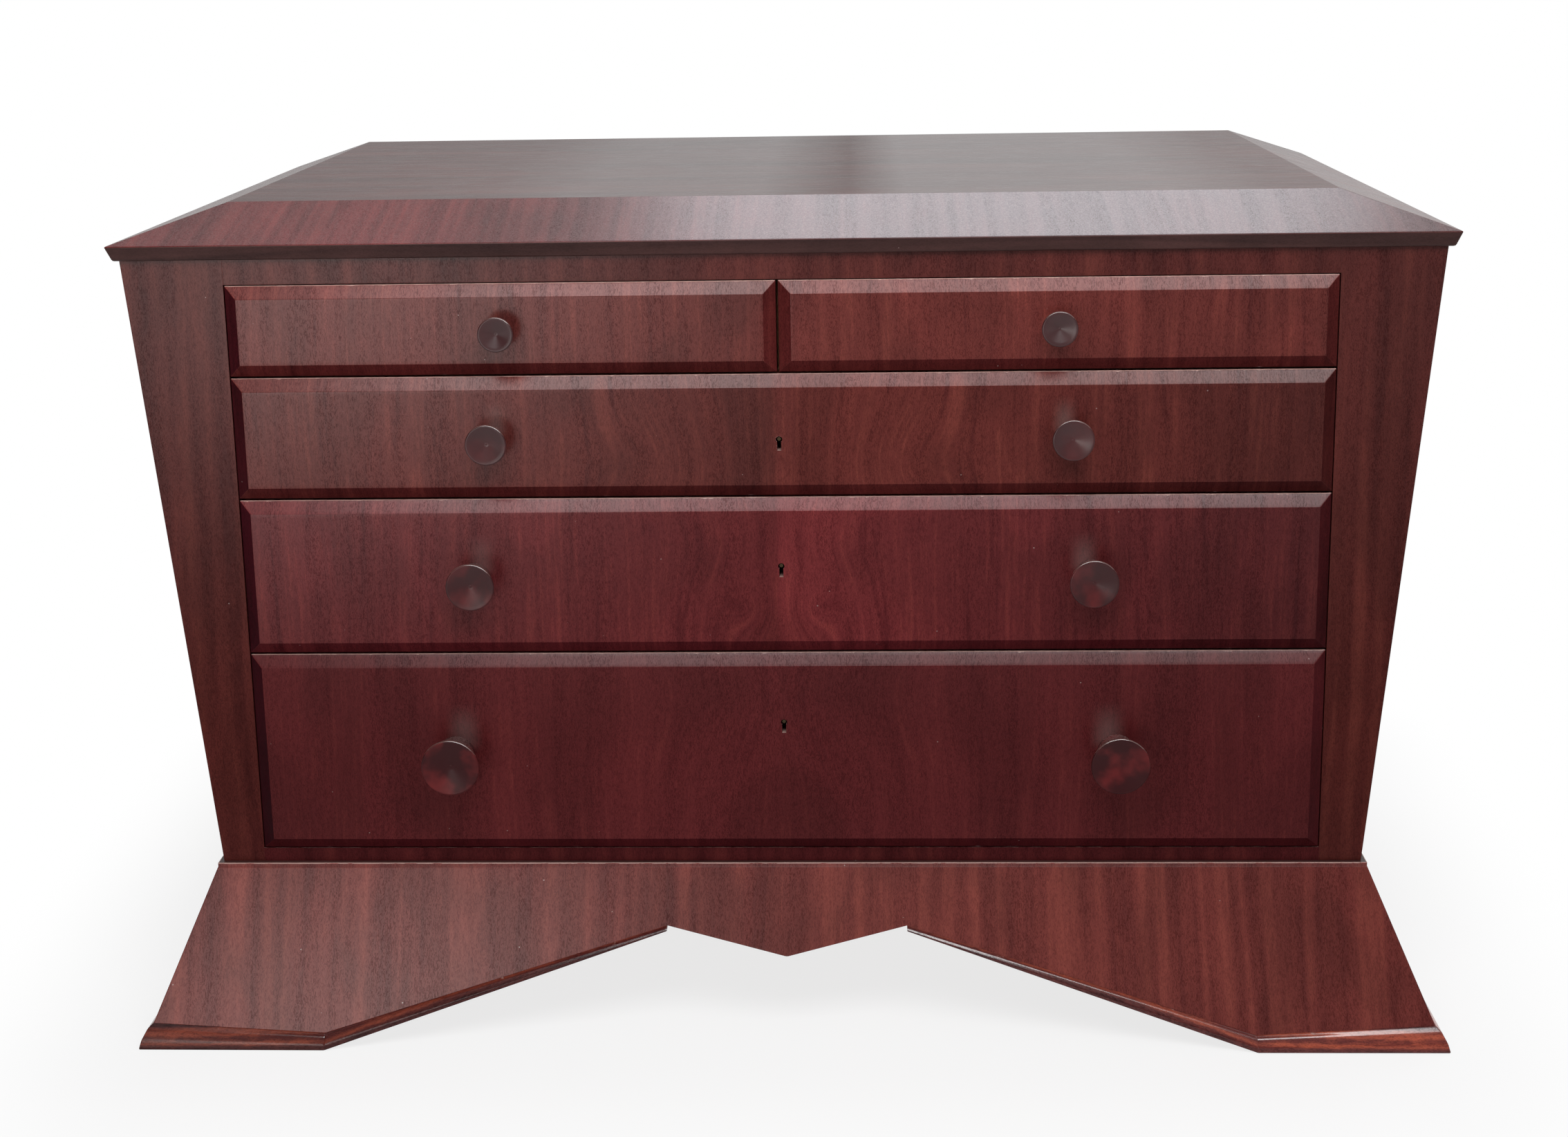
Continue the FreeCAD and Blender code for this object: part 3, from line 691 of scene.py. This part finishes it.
# Drawer fronts
SMALL_FRONT = timber(
    "small_front_veneer", UPRIGHT_GRAIN, 11.0, 0.018, BROWN, shade=1.08, gloss=WORN_LOW, front=True,
    bands=0.45, lines=0.35, sheen=[(-0.5, 1.05), (-0.05, 1.0), (0.05, 0.65), (0.5, 0.7)],
    levels=[(-0.5, 1.05), (-0.3, 0.98), (-0.03, 0.85), (0.03, 1.1), (0.5, 0.95)])
UPPER_FRONT = timber(
    "upper_front_veneer", UPRIGHT_GRAIN, 12.0, 0.02, BROWN, shade=1.03, gloss=WORN_LOW, front=True,
    knobs="upper_drawer_knobs", bands=0.35, lines=0.4,
    figure=book_matched([((0.115, 0.555), (0.05, 0.05), 0.03)]),
    sheen=[(-0.5, 1.25), (-0.2, 0.9), (-0.02, 0.7), (0.02, 0.45), (0.2, 0.5), (0.5, 0.7)],
    levels=[(-0.5, 1.05), (-0.004, 0.72), (0.0, 0.96), (0.2, 0.92), (0.5, 0.64)])
MIDDLE_FRONT = timber(
    "middle_front_veneer", UPRIGHT_GRAIN, 13.0, 0.02, CRIMSON, gloss=WORN_LOW, front=True,
    knobs="middle_drawer_knobs", bands=0.3, lines=0.45,
    figure=book_matched([((0.03, 0.415), (0.02, 0.022), 0.026), ((0.05, 0.48), (0.06, 0.05), 0.02)]),
    sheen=[(-0.5, 1.7), (-0.2, 1.0), (0.0, 0.5), (0.3, 0.8), (0.5, 1.0)],
    levels=[(-0.5, 1.0), (-0.15, 1.05), (-0.004, 0.88), (0.0, 1.25), (0.15, 1.05), (0.5, 0.58)])
LOWER_FRONT = timber(
    "lower_front_veneer", UPRIGHT_GRAIN, 14.0, 0.02, CRIMSON, shade=0.77, gloss=WORN_LOW, front=True,
    knobs="lower_drawer_knobs", bands=0.35, lines=0.4, contrast=0.7,
    figure=book_matched([((0.05, 0.33), (0.09, 0.06), 0.03)]),
    levels=[(-0.5, 0.95), (-0.15, 1.05), (-0.004, 1.05), (0.0, 0.98), (0.5, 0.96)])


def knob_finish():
    """Dark stained turned wood with fine turning lines, red in places low on the case, dusty on top."""
    clouds_per_metre, turnings_per_metre = 34.0, 900.0
    material, tree, shader = new_finish("knob_wood", specular=0.03, lacquer_roughness=0.36)
    place = add(tree, "TexCoord").outputs["Object"]
    clouds = spread(noise(place, clouds_per_metre, detail=3.0), 0.42, 0.7)
    clouds = times(clouds, by_height(tree, 1.0, 0.1))
    colour = blend(clouds, screen_colour(54, 22, 24), screen_colour(100, 35, 36))
    wear = use_group(tree, EDGE_WEAR, amount=0.3, size=0.01)["Mask"]
    colour = blend(wear, colour, screen_colour(150, 120, 112))
    dust = use_group(tree, DUST, specks=0.5, film=0.75, film_start=0.3)["Mask"]
    colour = blend(dust, colour, screen_colour(150, 122, 118))
    rough = plus(times(dust, 0.3), 0.22)
    turned_off = times(attribute(tree, "grain_along"), turnings_per_metre)
    turning = noise(vector(turned_off, 0.0, 0.0))
    bump = add(tree, "Bump", {"Strength": 0.15, "Distance": 0.1 * MM, "Height": turning})
    set_inputs(shader, base_color=colour, roughness=rough, coat_weight=by_height(tree, 0.15, 1.0),
               normal=bump.outputs[0])
    return material


def rim_highlight_finish():
    """The upper rim of a knob, where hands have polished the lacquer, with a lighter colour painted on as
    its highlight.
    """
    material, _, shader = new_finish("knob_rim", specular=0.5, lacquer_roughness=0.25, lacquer_index=2.0)
    # The lighter colour is a painted highlight on the polished rim
    set_inputs(shader, base_color=screen_colour(96, 66, 62), roughness=0.3, coat_weight=1.0)
    return material


def inner_finish(name, axes, seed):
    """Plain unpolished boards of the inside: pale brown, straight grain."""
    material, tree, shader = new_finish(name, specular=0.3)
    across, along = grain_place(tree, axes)
    grain = use_group(tree, RIBBON_GRAIN, across=across, fibre=across, along=along, seed=seed,
                      ribbon_width=0.03)
    tone = plus(times(grain["Ribbon"], 0.5), times(grain["Lines"], 0.5))
    colour = blend(tone, screen_colour(128, 88, 62), screen_colour(176, 134, 98))
    colour = blend(times(grain["Pores"], 0.4), colour, screen_colour(96, 62, 44))
    set_inputs(shader, base_color=colour, roughness=0.6)
    return material


def metal_finish(name, colour, tarnish):
    """Metal dulled in soft patches."""
    material, tree, shader = new_finish(name, specular=0.5)
    place = add(tree, "TexCoord").outputs["Object"]
    patches = spread(noise(place, scale=90.0, detail=4.0, roughness=0.6), 0.35, 0.7)
    rough = plus(times(patches, 0.25), 0.3)
    set_inputs(shader, base_color=blend(patches, colour, tarnish), roughness=rough, metallic=1.0)
    return material


KNOB_WOOD = knob_finish()
KNOB_RIM_HIGHLIGHT = rim_highlight_finish()
INNER_LONG_WOOD = inner_finish("inner_long_wood", LONG_GRAIN, 21.0)
INNER_SIDE_WOOD = inner_finish("inner_side_wood", DEEP_GRAIN, 22.0)
LOCK_BRASS = metal_finish("lock_brass", screen_colour(76, 64, 48), screen_colour(34, 29, 24))
BOLT_STEEL = metal_finish("bolt_steel", screen_colour(176, 176, 178), screen_colour(98, 92, 88))


# Case

def make_top():
    """A board whose profile goes up its undercut edge, over the arris and up the broad slope to the flat.
    The profile runs round the front and both ends; the back stays square."""
    under_ease, arris_ease, slope_ease, corner = 3 * MM, 1.2 * MM, 1.5 * MM, 0.8 * MM
    low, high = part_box("top_board")
    corners = rectangle(low, high, "xy")
    profile, worn = eased(
        [(8 * EDGE_INSET, low.z), (EDGE_INSET, low.z), (0, low.z + EDGE_HEIGHT), (BEVEL_RUN, high.z),
         (BEVEL_RUN + 4 * SUPPORT, high.z)], [under_ease, arris_ease, slope_ease])
    rings = [level(ring(corners, [inset, inset, 0, inset], corner), height) for inset, height in profile]
    piece = solid("top", "case", TOP_VENEER, [shell(rings, 0.5 * worn)], ["top_board"])
    backward, upward = face_rows(piece, "normal")[:, 1:].T
    finish_faces(piece, (backward < -0.2) & (upward > 0.3), SLOPE_VENEER)
    finish_faces(piece, upward < 0.1, EDGE_WOOD)


def make_case():
    """Stiles and side panels that lean outwards going up, and the rails between the stiles."""
    for name, sign in (("left", -1), ("right", 1)):
        low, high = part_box(f"{name}_stile")
        head = sign * max(abs(low.x), abs(high.x))
        inner = sign * min(abs(low.x), abs(high.x))
        foot = inner + sign * STILE_WIDTH
        corners = [(foot, low.z), (inner, low.z), (inner, high.z), (head, high.z)]
        piece = board(corners[::-sign], (low.y, high.y), FLUSH_EASE, FLUSH_EASE)
        solid(f"{name}_stile_board", "case", CASE_VENEER, [piece], [f"{name}_stile"])
        low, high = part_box(f"{name}_side_panel")
        corners = [(foot, low.z), (foot - sign * SIDE_THICKNESS, low.z),
                   (head - sign * SIDE_THICKNESS, high.z), (head, high.z)]
        piece = board(corners[::-sign], (low.y, high.y))
        solid(f"{name}_side_board", "case", CASE_VENEER, [piece], [f"{name}_side_panel"])
    for name, material in (("top_rail", CASE_VENEER), ("bottom_rail", LOW_RAIL_VENEER)):
        low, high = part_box(name)
        piece = board(rectangle(low, high, "xz"), (low.y, high.y), FLUSH_EASE, FLUSH_EASE)
        solid(f"{name}_board", "case", material, [piece], [name])


# Drawers

def round_outline(eye, radius):
    """Points of a circle round a keyhole's eye, evenly spaced, in the order of a front's ring: it begins at
    the left, just below the middle, and goes round by the bottom."""
    step = 2 * math.pi / RING_POINTS
    angle = math.pi + step * (np.arange(RING_POINTS) + 0.5)
    return np.stack([radius * np.cos(angle), eye + radius * np.sin(angle)], axis=1)


def keyhole(eye):
    """A keyhole's outline in the same order: down the left of the eye, round the slot below it, and up."""
    half = KEYHOLE_SLOT / 2
    open_angle = math.asin(half / KEYHOLE_RADIUS)
    outline = round_outline(eye, KEYHOLE_RADIUS)
    joint = eye - KEYHOLE_RADIUS * math.cos(open_angle)
    foot = eye - KEYHOLE_DROP
    left = [(-half, height) for height in (joint, (foot + joint) / 2, foot)]
    slot = slice(RING_POINTS // 8, RING_POINTS * 3 // 8)
    outline[slot] = left + [(half, height) for _, height in reversed(left)]
    return outline


def make_front(name, small, material):
    """A flat board, a slope on all four edges and a raised field; with a lock, the field has a keyhole
    through it."""
    back_ease, edge_ease, field_ease, corner = 0.5 * MM, 1 * MM, 1.4 * MM, 0.5 * MM
    # A front's pale outer edge is wear and a painted highlight; the keyhole's pale lower lip is a painted
    # glint
    edge_wear_and_highlight, field_wear, hole_wear_and_glint = 1.5, 0.8, 1.5
    hole_ease = 1 * MM
    node = f"{name}_drawer_front"
    low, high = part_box(node)
    corners = rectangle(low, high, "xz")
    profile, worn = eased(
        [(3 * PANEL_BEVEL, high.y), (0, high.y), (0, FACE), (PANEL_BEVEL, low.y),
         (2.5 * PANEL_BEVEL, low.y)],
        [back_ease, edge_ease, field_ease], fade=3 * MM, wear=[0, edge_wear_and_highlight, field_wear])
    rings = [upright(ring(corners, inset, corner), depth) for inset, depth in profile]
    if not small:
        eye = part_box(f"{name}_drawer_lock")[0].z + LOCK_BELOW
        around = round_outline(eye, 4 * KEYHOLE_RADIUS)
        rings.append(upright(around, low.y))
        rings += [upright(keyhole(eye), depth) for depth in (low.y, low.y + hole_ease, high.y)]
        rings.append(upright(around, high.y))
        worn = np.concatenate([worn, [0, hole_wear_and_glint, hole_wear_and_glint, 0, 0]])
    field = shell(rings, worn, looped=not small)
    solid(f"{name}_front", f"{name}_drawer", material, [field], [node])


def turned(centre, radius, length):
    """A knob as a surface of revolution: the profile (distance from axis, distance from the front) turned
    about Y."""
    sunk, dish_drop = 2 * MM, 0.3 * MM
    neck = KNOB_NECK * radius
    back = [(0.3 * neck, -sunk), (neck, -sunk), (neck, 0.06 * length)]
    body = [(0.985 * radius, length - 2 * KNOB_RIM)]
    turn = np.linspace(-0.4, math.pi / 2 + 0.5, 8)
    rim = [(radius - KNOB_RIM * (1 - math.cos(t)), length - KNOB_RIM * (1 - math.sin(t))) for t in turn]
    inner = (radius - 2 * KNOB_RIM) / radius
    share = np.linspace(inner, 0.06, 10)
    dish = [(s * radius, length - dish_drop - KNOB_DISH * (1 - s / inner)) for s in share]
    tip = [(0.035 * radius, length - 0.97 * KNOB_DISH), (0.006 * radius, length - 0.9 * KNOB_DISH)]
    profile = np.array(back + body + rim + dish + tip)
    worn = np.concatenate([np.zeros(len(back + body)), np.ones(len(rim)), np.zeros(len(dish)), [0.3, 0.5]])
    angle = np.linspace(0, 2 * math.pi, KNOB_POINTS, endpoint=False)
    out, reach = profile[:, :1], np.broadcast_to(profile[:, 1:], (len(profile), KNOB_POINTS))
    x, z = centre[0] + out * np.cos(angle), centre[2] + out * np.sin(angle)
    travel = np.cumsum(np.concatenate([[0], np.linalg.norm(np.diff(profile, axis=0), axis=1)]))
    along = np.broadcast_to(travel[:, None], reach.shape)
    grain = np.stack([along, np.zeros(reach.shape)], axis=2)
    return shell(np.stack([x, centre[1] - reach, z], axis=2), worn, grain=grain)


def make_knobs(name, small):
    """One knob on a small drawer and two on a wide one, each with a painted highlight on its upper rim."""
    rim_facing = 0.42
    node = f"{name}_drawer_knob" if small else f"{name}_drawer_knobs"
    low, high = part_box(node)
    radius = (high.z - low.z) / 2
    places = [high.x - radius] if small else [low.x + radius, high.x - radius]
    knobs = [turned((x, high.y, low.z + radius), radius, high.y - low.y) for x in places]
    piece = solid(f"{name}_knob", f"{name}_drawer", KNOB_WOOD, knobs, [node])
    centres = face_rows(piece, "center")
    upper_front = (centres[:, 1] < low.y + 2 * KNOB_RIM) & (centres[:, 2] > low.z + radius)
    finish_faces(piece, upper_front & (face_rows(piece, "normal")[:, 2] > rim_facing), KNOB_RIM_HIGHLIGHT)


def make_drawers():
    """Fronts and knobs of the five drawers."""
    fronts = {"small_left": SMALL_FRONT, "small_right": SMALL_FRONT, "upper": UPPER_FRONT,
              "middle": MIDDLE_FRONT, "lower": LOWER_FRONT}
    for name, material in fronts.items():
        small = name.startswith("small")
        make_front(name, small, material)
        make_knobs(name, small)


# Plinth

def splay(z):
    """How far the plinth's outer faces stand out from its top edge at a height."""
    return BASE_SPLAY * (1 - z / BASE_HIGH)


def make_ledge():
    """A thin rim with a rounded nose, its section carried round the case; the nose is painted pale as its
    highlight.
    """
    low_ease, nose_ease, corner, fade, nose_wear_and_highlight = 0.1 * MM, 0.8 * MM, 1 * MM, 0.3 * MM, 2.4
    low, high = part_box("base_ledge")
    corners = rectangle(low, high, "xy")
    profile, worn = eased(
        [(LEDGE_WIDTH, low.z), (0, low.z), (0, high.z), (LEDGE_WIDTH, high.z)],
        [low_ease, nose_ease], fade, [0, nose_wear_and_highlight])
    rings = [level(ring(corners, inset, corner), height) for inset, height in profile]
    piece = solid("ledge", "case", BASE_VENEER, [shell(rings, worn, True)], ["base_ledge"])
    upward = face_rows(piece, "normal")[:, 2]
    finish_faces(piece, upward > 0.1, ARRIS_PAINTED_HIGHLIGHT)
    finish_faces(piece, upward > 0.95, EDGE_WOOD)


def plinth_board(name, corners, ends, radii, place):
    """A plinth board with eased edges, mitred along the sides of its outline that are its ends; place puts
    an outline at a depth behind the face."""
    inner, ease = 3 * SUPPORT, 0.3 * MM
    profile, worn = eased(
        [(inner, 0), (0, 0), (0, BASE_THICKNESS), (inner, BASE_THICKNESS)], [ease, ease], wear=0.0)
    mitred = np.zeros(len(corners))
    mitred[ends] = BASE_LEAN
    rings = [place(ring(corners, inset + mitred * depth, radii), depth) for inset, depth in profile]
    solid(f"base_{name}", "case", BASE_VENEER, [shell(rings, worn)], [f"base_{name}_panel"])


def make_base_front():
    """An outline with two feet, two slanted edges and a rounded point, on a plane that leans out."""
    right_end, left_end = 3, 5
    outer = BASE_HALF + splay(FOOT_JOINT)
    knee = outer - FOOT_LENGTH
    half = [(PEAK_OFFSET, PEAK_HEIGHT), (knee, KNEE_JOINT), (outer, FOOT_JOINT), (BASE_HALF, BASE_HIGH)]
    corners = [(0, POINT_HEIGHT)] + half + [(-x, z) for x, z in reversed(half)]
    radii = np.full(len(corners), BASE_CORNER)
    radii[0] = POINT_RADIUS
    plinth_board("front", corners, [right_end, left_end], radii,
                 lambda outline, depth: upright(outline, depth - BASE_FACE - splay(outline[:, 1])))


def side_outline():
    """Corners (y, z) of the plinth's side, and the places of its knees and peak."""
    front = -BASE_FACE - splay(FOOT_JOINT)
    knee, back_knee = front + FOOT_LENGTH, BACK - FOOT_LENGTH
    peak = (knee + back_knee) / 2
    corners = [(front, FOOT_JOINT), (knee, KNEE_JOINT), (peak, SIDE_PEAK_HEIGHT), (back_knee, KNEE_JOINT),
               (BACK, FOOT_JOINT), (BACK, BASE_HIGH), (-BASE_FACE, BASE_HIGH)]
    return corners, front, knee, peak, back_knee


def make_base_sides():
    """Side panels on planes that lean out."""
    front_end = -1
    for name, sign in (("left", -1), ("right", 1)):
        plinth_board(name, side_outline()[0], front_end, BASE_CORNER, lambda outline, depth: np.column_stack(
            [sign * (BASE_HALF + splay(outline[:, 1]) - depth), outline]))


def strip(start, end, low, high, mitre=None, side=False):
    """One strip of lip: a section with a rounded nose, carried straight from start to end while its lower
    edge goes from low[0] to low[1] and its upper edge from high[0] to high[1]. Its face leans with the
    plinth. A mitred start follows the plinth's corner: it lies at the face's outward reach plus mitre."""
    near_end = np.array([0, 0.002, 0.006])
    stations = np.concatenate([near_end, np.linspace(0.05, 0.95, 9), 1 - near_end[::-1]])
    shrink = np.zeros(len(stations))
    shrink[[0, -1]] = 0.15 * MM
    reach_at_top = BASE_HALF if side else BASE_FACE
    rings, grain = [], []
    for share, tuck in zip(stations, shrink):
        bottom, top = [ends[0] + share * (ends[1] - ends[0]) for ends in (low, high)]
        nose = [(out * LIP_PROUD, bottom + up * (top - bottom)) for out, up in LIP_NOSE]
        corners = np.array([(-BASE_THICKNESS, bottom), *nose, (-BASE_THICKNESS, top)])
        section = ring(corners, tuck, soft_radii(corners))
        outward = reach_at_top + splay(section[:, 1]) + section[:, 0]
        first = outward + mitre if mitre is not None else np.full(len(outward), start)
        along = first + share * (end - first)
        rings.append(np.column_stack([along, outward, section[:, 1]]))
        travel = np.concatenate([[0], np.cumsum(np.linalg.norm(np.diff(section, axis=0), axis=1))])
        grain.append(np.column_stack([along, travel]))
    return np.array(rings), np.array(grain)


def lip(name, strips, order, sign, node):
    """Strips whose (along, outward, height) are put in the order of the chest's axes; sign mirrors them."""
    shells = [shell(rings[..., order] * (sign, -1, 1), np.full(len(rings), LIP_WEAR), grain=grain)
              for rings, grain in strips]
    solid(name, "case", LIP_WOOD, shells, [node])


def make_lips():
    """Lips under the front's two feet and slanted edges, and along the whole lower edge of each side."""
    outer = BASE_HALF + splay(FOOT_JOINT)
    knee = outer - FOOT_LENGTH
    mitre = BASE_HALF - BASE_FACE
    at_foot = (FOOT_JOINT, KNEE_JOINT)
    foot = strip(outer, knee, (0, 0), at_foot, mitre)
    slant = strip(knee, PEAK_OFFSET, (0, PEAK_HEIGHT - LIP_END), (KNEE_JOINT, PEAK_HEIGHT))
    for name, sign in (("left", -1), ("right", 1)):
        lip(f"front_{name}_lip", [foot, slant], [0, 1, 2], sign, f"base_front_{name}_lip")

    _, front, knee, peak, back_knee = side_outline()
    low, high = (0, SIDE_PEAK_HEIGHT - LIP_END), (KNEE_JOINT, SIDE_PEAK_HEIGHT)
    strips = [
        strip(-front, -knee, (0, 0), at_foot, -mitre, side=True),
        strip(-knee, -peak, low, high, side=True),
        strip(-back_knee, -peak, low, high, side=True),
        strip(-BACK, -back_knee, (0, 0), at_foot, side=True)]
    for name, sign in (("left", -1), ("right", 1)):
        lip(f"side_{name}_lip", strips, [1, 0, 2], sign, f"base_{name}_lip")


def finish_hidden_pieces():
    """Locks, bolts and inner boards keep their shape and get a finish by the last word of their name."""
    finishes = {"lock": LOCK_BRASS, "bolt": BOLT_STEEL, "side": INNER_SIDE_WOOD, "runners": INNER_SIDE_WOOD,
                "partition": INNER_SIDE_WOOD}
    for name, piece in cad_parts.items():
        if not piece.hide_render:
            piece.data.materials.clear()
            piece.data.materials.append(finishes.get(name.split("_")[-1], INNER_LONG_WOOD))


# Studio

CAMERA_PLACE = Vector((72.2, -2087.4, 1026.5)) * MM
CAMERA_DOWN = 0.20242
CAMERA_RIGHT = -0.03697
CAMERA_ROLL = -0.01714
PHOTO_WIDTH = 2268
PHOTO_HEIGHT = 1644
FOCAL_PIXELS = 2918.9
LEVEL_ROW = 510
SENSOR = 36.0
FLOOR_REACH = 150.0


def make_camera():
    """The photograph's viewpoint; the shift is the level row's distance from the middle of the frame."""
    data = bpy.data.cameras.new("camera")
    data.sensor_width = SENSOR
    data.lens = SENSOR * FOCAL_PIXELS / PHOTO_WIDTH
    data.shift_y = (LEVEL_ROW - PHOTO_HEIGHT / 2) / PHOTO_WIDTH
    camera = bpy.data.objects.new("camera", data)
    bpy.context.scene.collection.objects.link(camera)
    turn = Matrix.Rotation(-CAMERA_RIGHT, 4, "Z") @ Matrix.Rotation(math.pi / 2 - CAMERA_DOWN, 4, "X")
    camera.matrix_world = Matrix.Translation(CAMERA_PLACE) @ turn @ Matrix.Rotation(CAMERA_ROLL, 4, "Z")
    bpy.context.scene.camera = camera


def softbox(name, place, target, size, radiance, colour=(1.0, 1.0, 1.0)):
    """A rectangular lamp that looks at a point; its power gives its face the stated radiance."""
    data = bpy.data.lights.new(name, "AREA")
    data.shape = "RECTANGLE"
    data.size, data.size_y = size
    data.energy = radiance * math.pi * size[0] * size[1]
    data.color = colour
    lamp = bpy.data.objects.new(name, data)
    lamp.location = place
    lamp.rotation_euler = (Vector(target) - Vector(place)).to_track_quat("-Z", "Y").to_euler()
    lamp.visible_camera = False
    bpy.context.scene.collection.objects.link(lamp)


def make_lights():
    """Three soft lamps, and a room that is lighter towards the back and the right."""
    softbox("key_softbox", (0.15, -1.2, 1.8), (0, -0.3, 0.45), (1.8, 0.8), 5.4)
    softbox("back_softbox", (0.38, 1.35, 2.4), (0.25, 0, 0.7), (1.45, 0.9), 4.15, (0.93, 0.94, 1.0))
    softbox("left_softbox", (-1.0, -2.7, 0.5), (-0.2, -0.3, 0.4), (1.0, 0.8), 5.0, (1.0, 0.985, 0.95))
    world = bpy.data.worlds.new("studio")
    bpy.context.scene.world = world
    world.use_nodes = True
    tree = world.node_tree
    way = add(tree, "SeparateXYZ", {0: add(tree, "TexCoord").outputs["Generated"]}).outputs
    light = spread(way["Y"], -0.2, 0.6, 0.2, 0.56)
    light = plus(light, times(way["X"], 0.3))
    feed(tree.nodes["Background"].inputs["Color"], light)


def floor_finish():
    """Even white ground, for the camera and for what reflects or passes it, but for a soft oval in front of
    the chest, where it stays plain; round the chest it takes the shadow."""
    near, far, shadow_share = 0.02, 0.3, 0.22
    plain, white_ground = 0.75, 0.88
    front_edge, front_fade = -0.45, 0.6
    oval_middle, oval_reach, oval_from, oval_to = (0.2, -2.4), (2.2, 2.4), 0.5, 1.3
    material = bpy.data.materials.new("pale_floor")
    material.use_nodes = True
    tree = material.node_tree
    tree.nodes.remove(tree.nodes["Principled BSDF"])
    ray = add(tree, "LightPath").outputs
    seen = maths("MAXIMUM", ray["Is Camera Ray"], ray["Is Glossy Ray"])
    seen = maths("MAXIMUM", seen, ray["Is Transmission Ray"])
    place = object_axes(tree)
    steps = [maths("DIVIDE", minus(place[axis], middle), reach)
             for axis, middle, reach in zip("XY", oval_middle, oval_reach)]
    round_oval = spread(hypotenuse(*steps), oval_from, oval_to)
    behind = spread(place["Y"], front_edge - front_fade, front_edge)
    ground = times(maths("MAXIMUM", behind, round_oval), seen)
    colour = add(tree, "MapRange", {"Value": ground, "To Min": plain, "To Max": white_ground}).outputs[0]
    diffuse = add(tree, "BsdfDiffuse", {"Color": colour}).outputs[0]
    white = add(tree, "Emission", {"Color": (1.0, 1.0, 1.0, 1.0), "Strength": 1.0}).outputs[0]
    outside = [minus(maths("ABSOLUTE", place[axis]), half)
               for axis, half in (("X", BASE_HALF), ("Y", BACK))]
    distance = hypotenuse(*[maths("MAXIMUM", out, 0.0) for out in outside])
    even = times(spread(distance, near, far, 1 - shadow_share, 1.0), ground)
    mixed = add(tree, "MixShader", {0: even, 1: diffuse, 2: white}).outputs[0]
    feed(tree.nodes["Material Output"].inputs["Surface"], mixed)
    return material


def make_floor():
    """A wide round floor."""
    mesh = bpy.data.meshes.new("floor")
    angle = np.linspace(0, 2 * math.pi, FLOOR_POINTS, endpoint=False)
    rim = FLOOR_REACH * np.stack([np.cos(angle), np.sin(angle)], axis=1)
    mesh.from_pydata(level(rim, 0.0), [], [list(range(FLOOR_POINTS))])
    floor = bpy.data.objects.new("floor", mesh)
    bpy.context.scene.collection.objects.link(floor)
    mesh.materials.append(floor_finish())


make_camera()
make_lights()
make_floor()
make_top()
make_case()
make_drawers()
make_ledge()
make_base_front()
make_base_sides()
make_lips()
finish_hidden_pieces()

bpy.context.scene.view_settings.view_transform = "Standard"
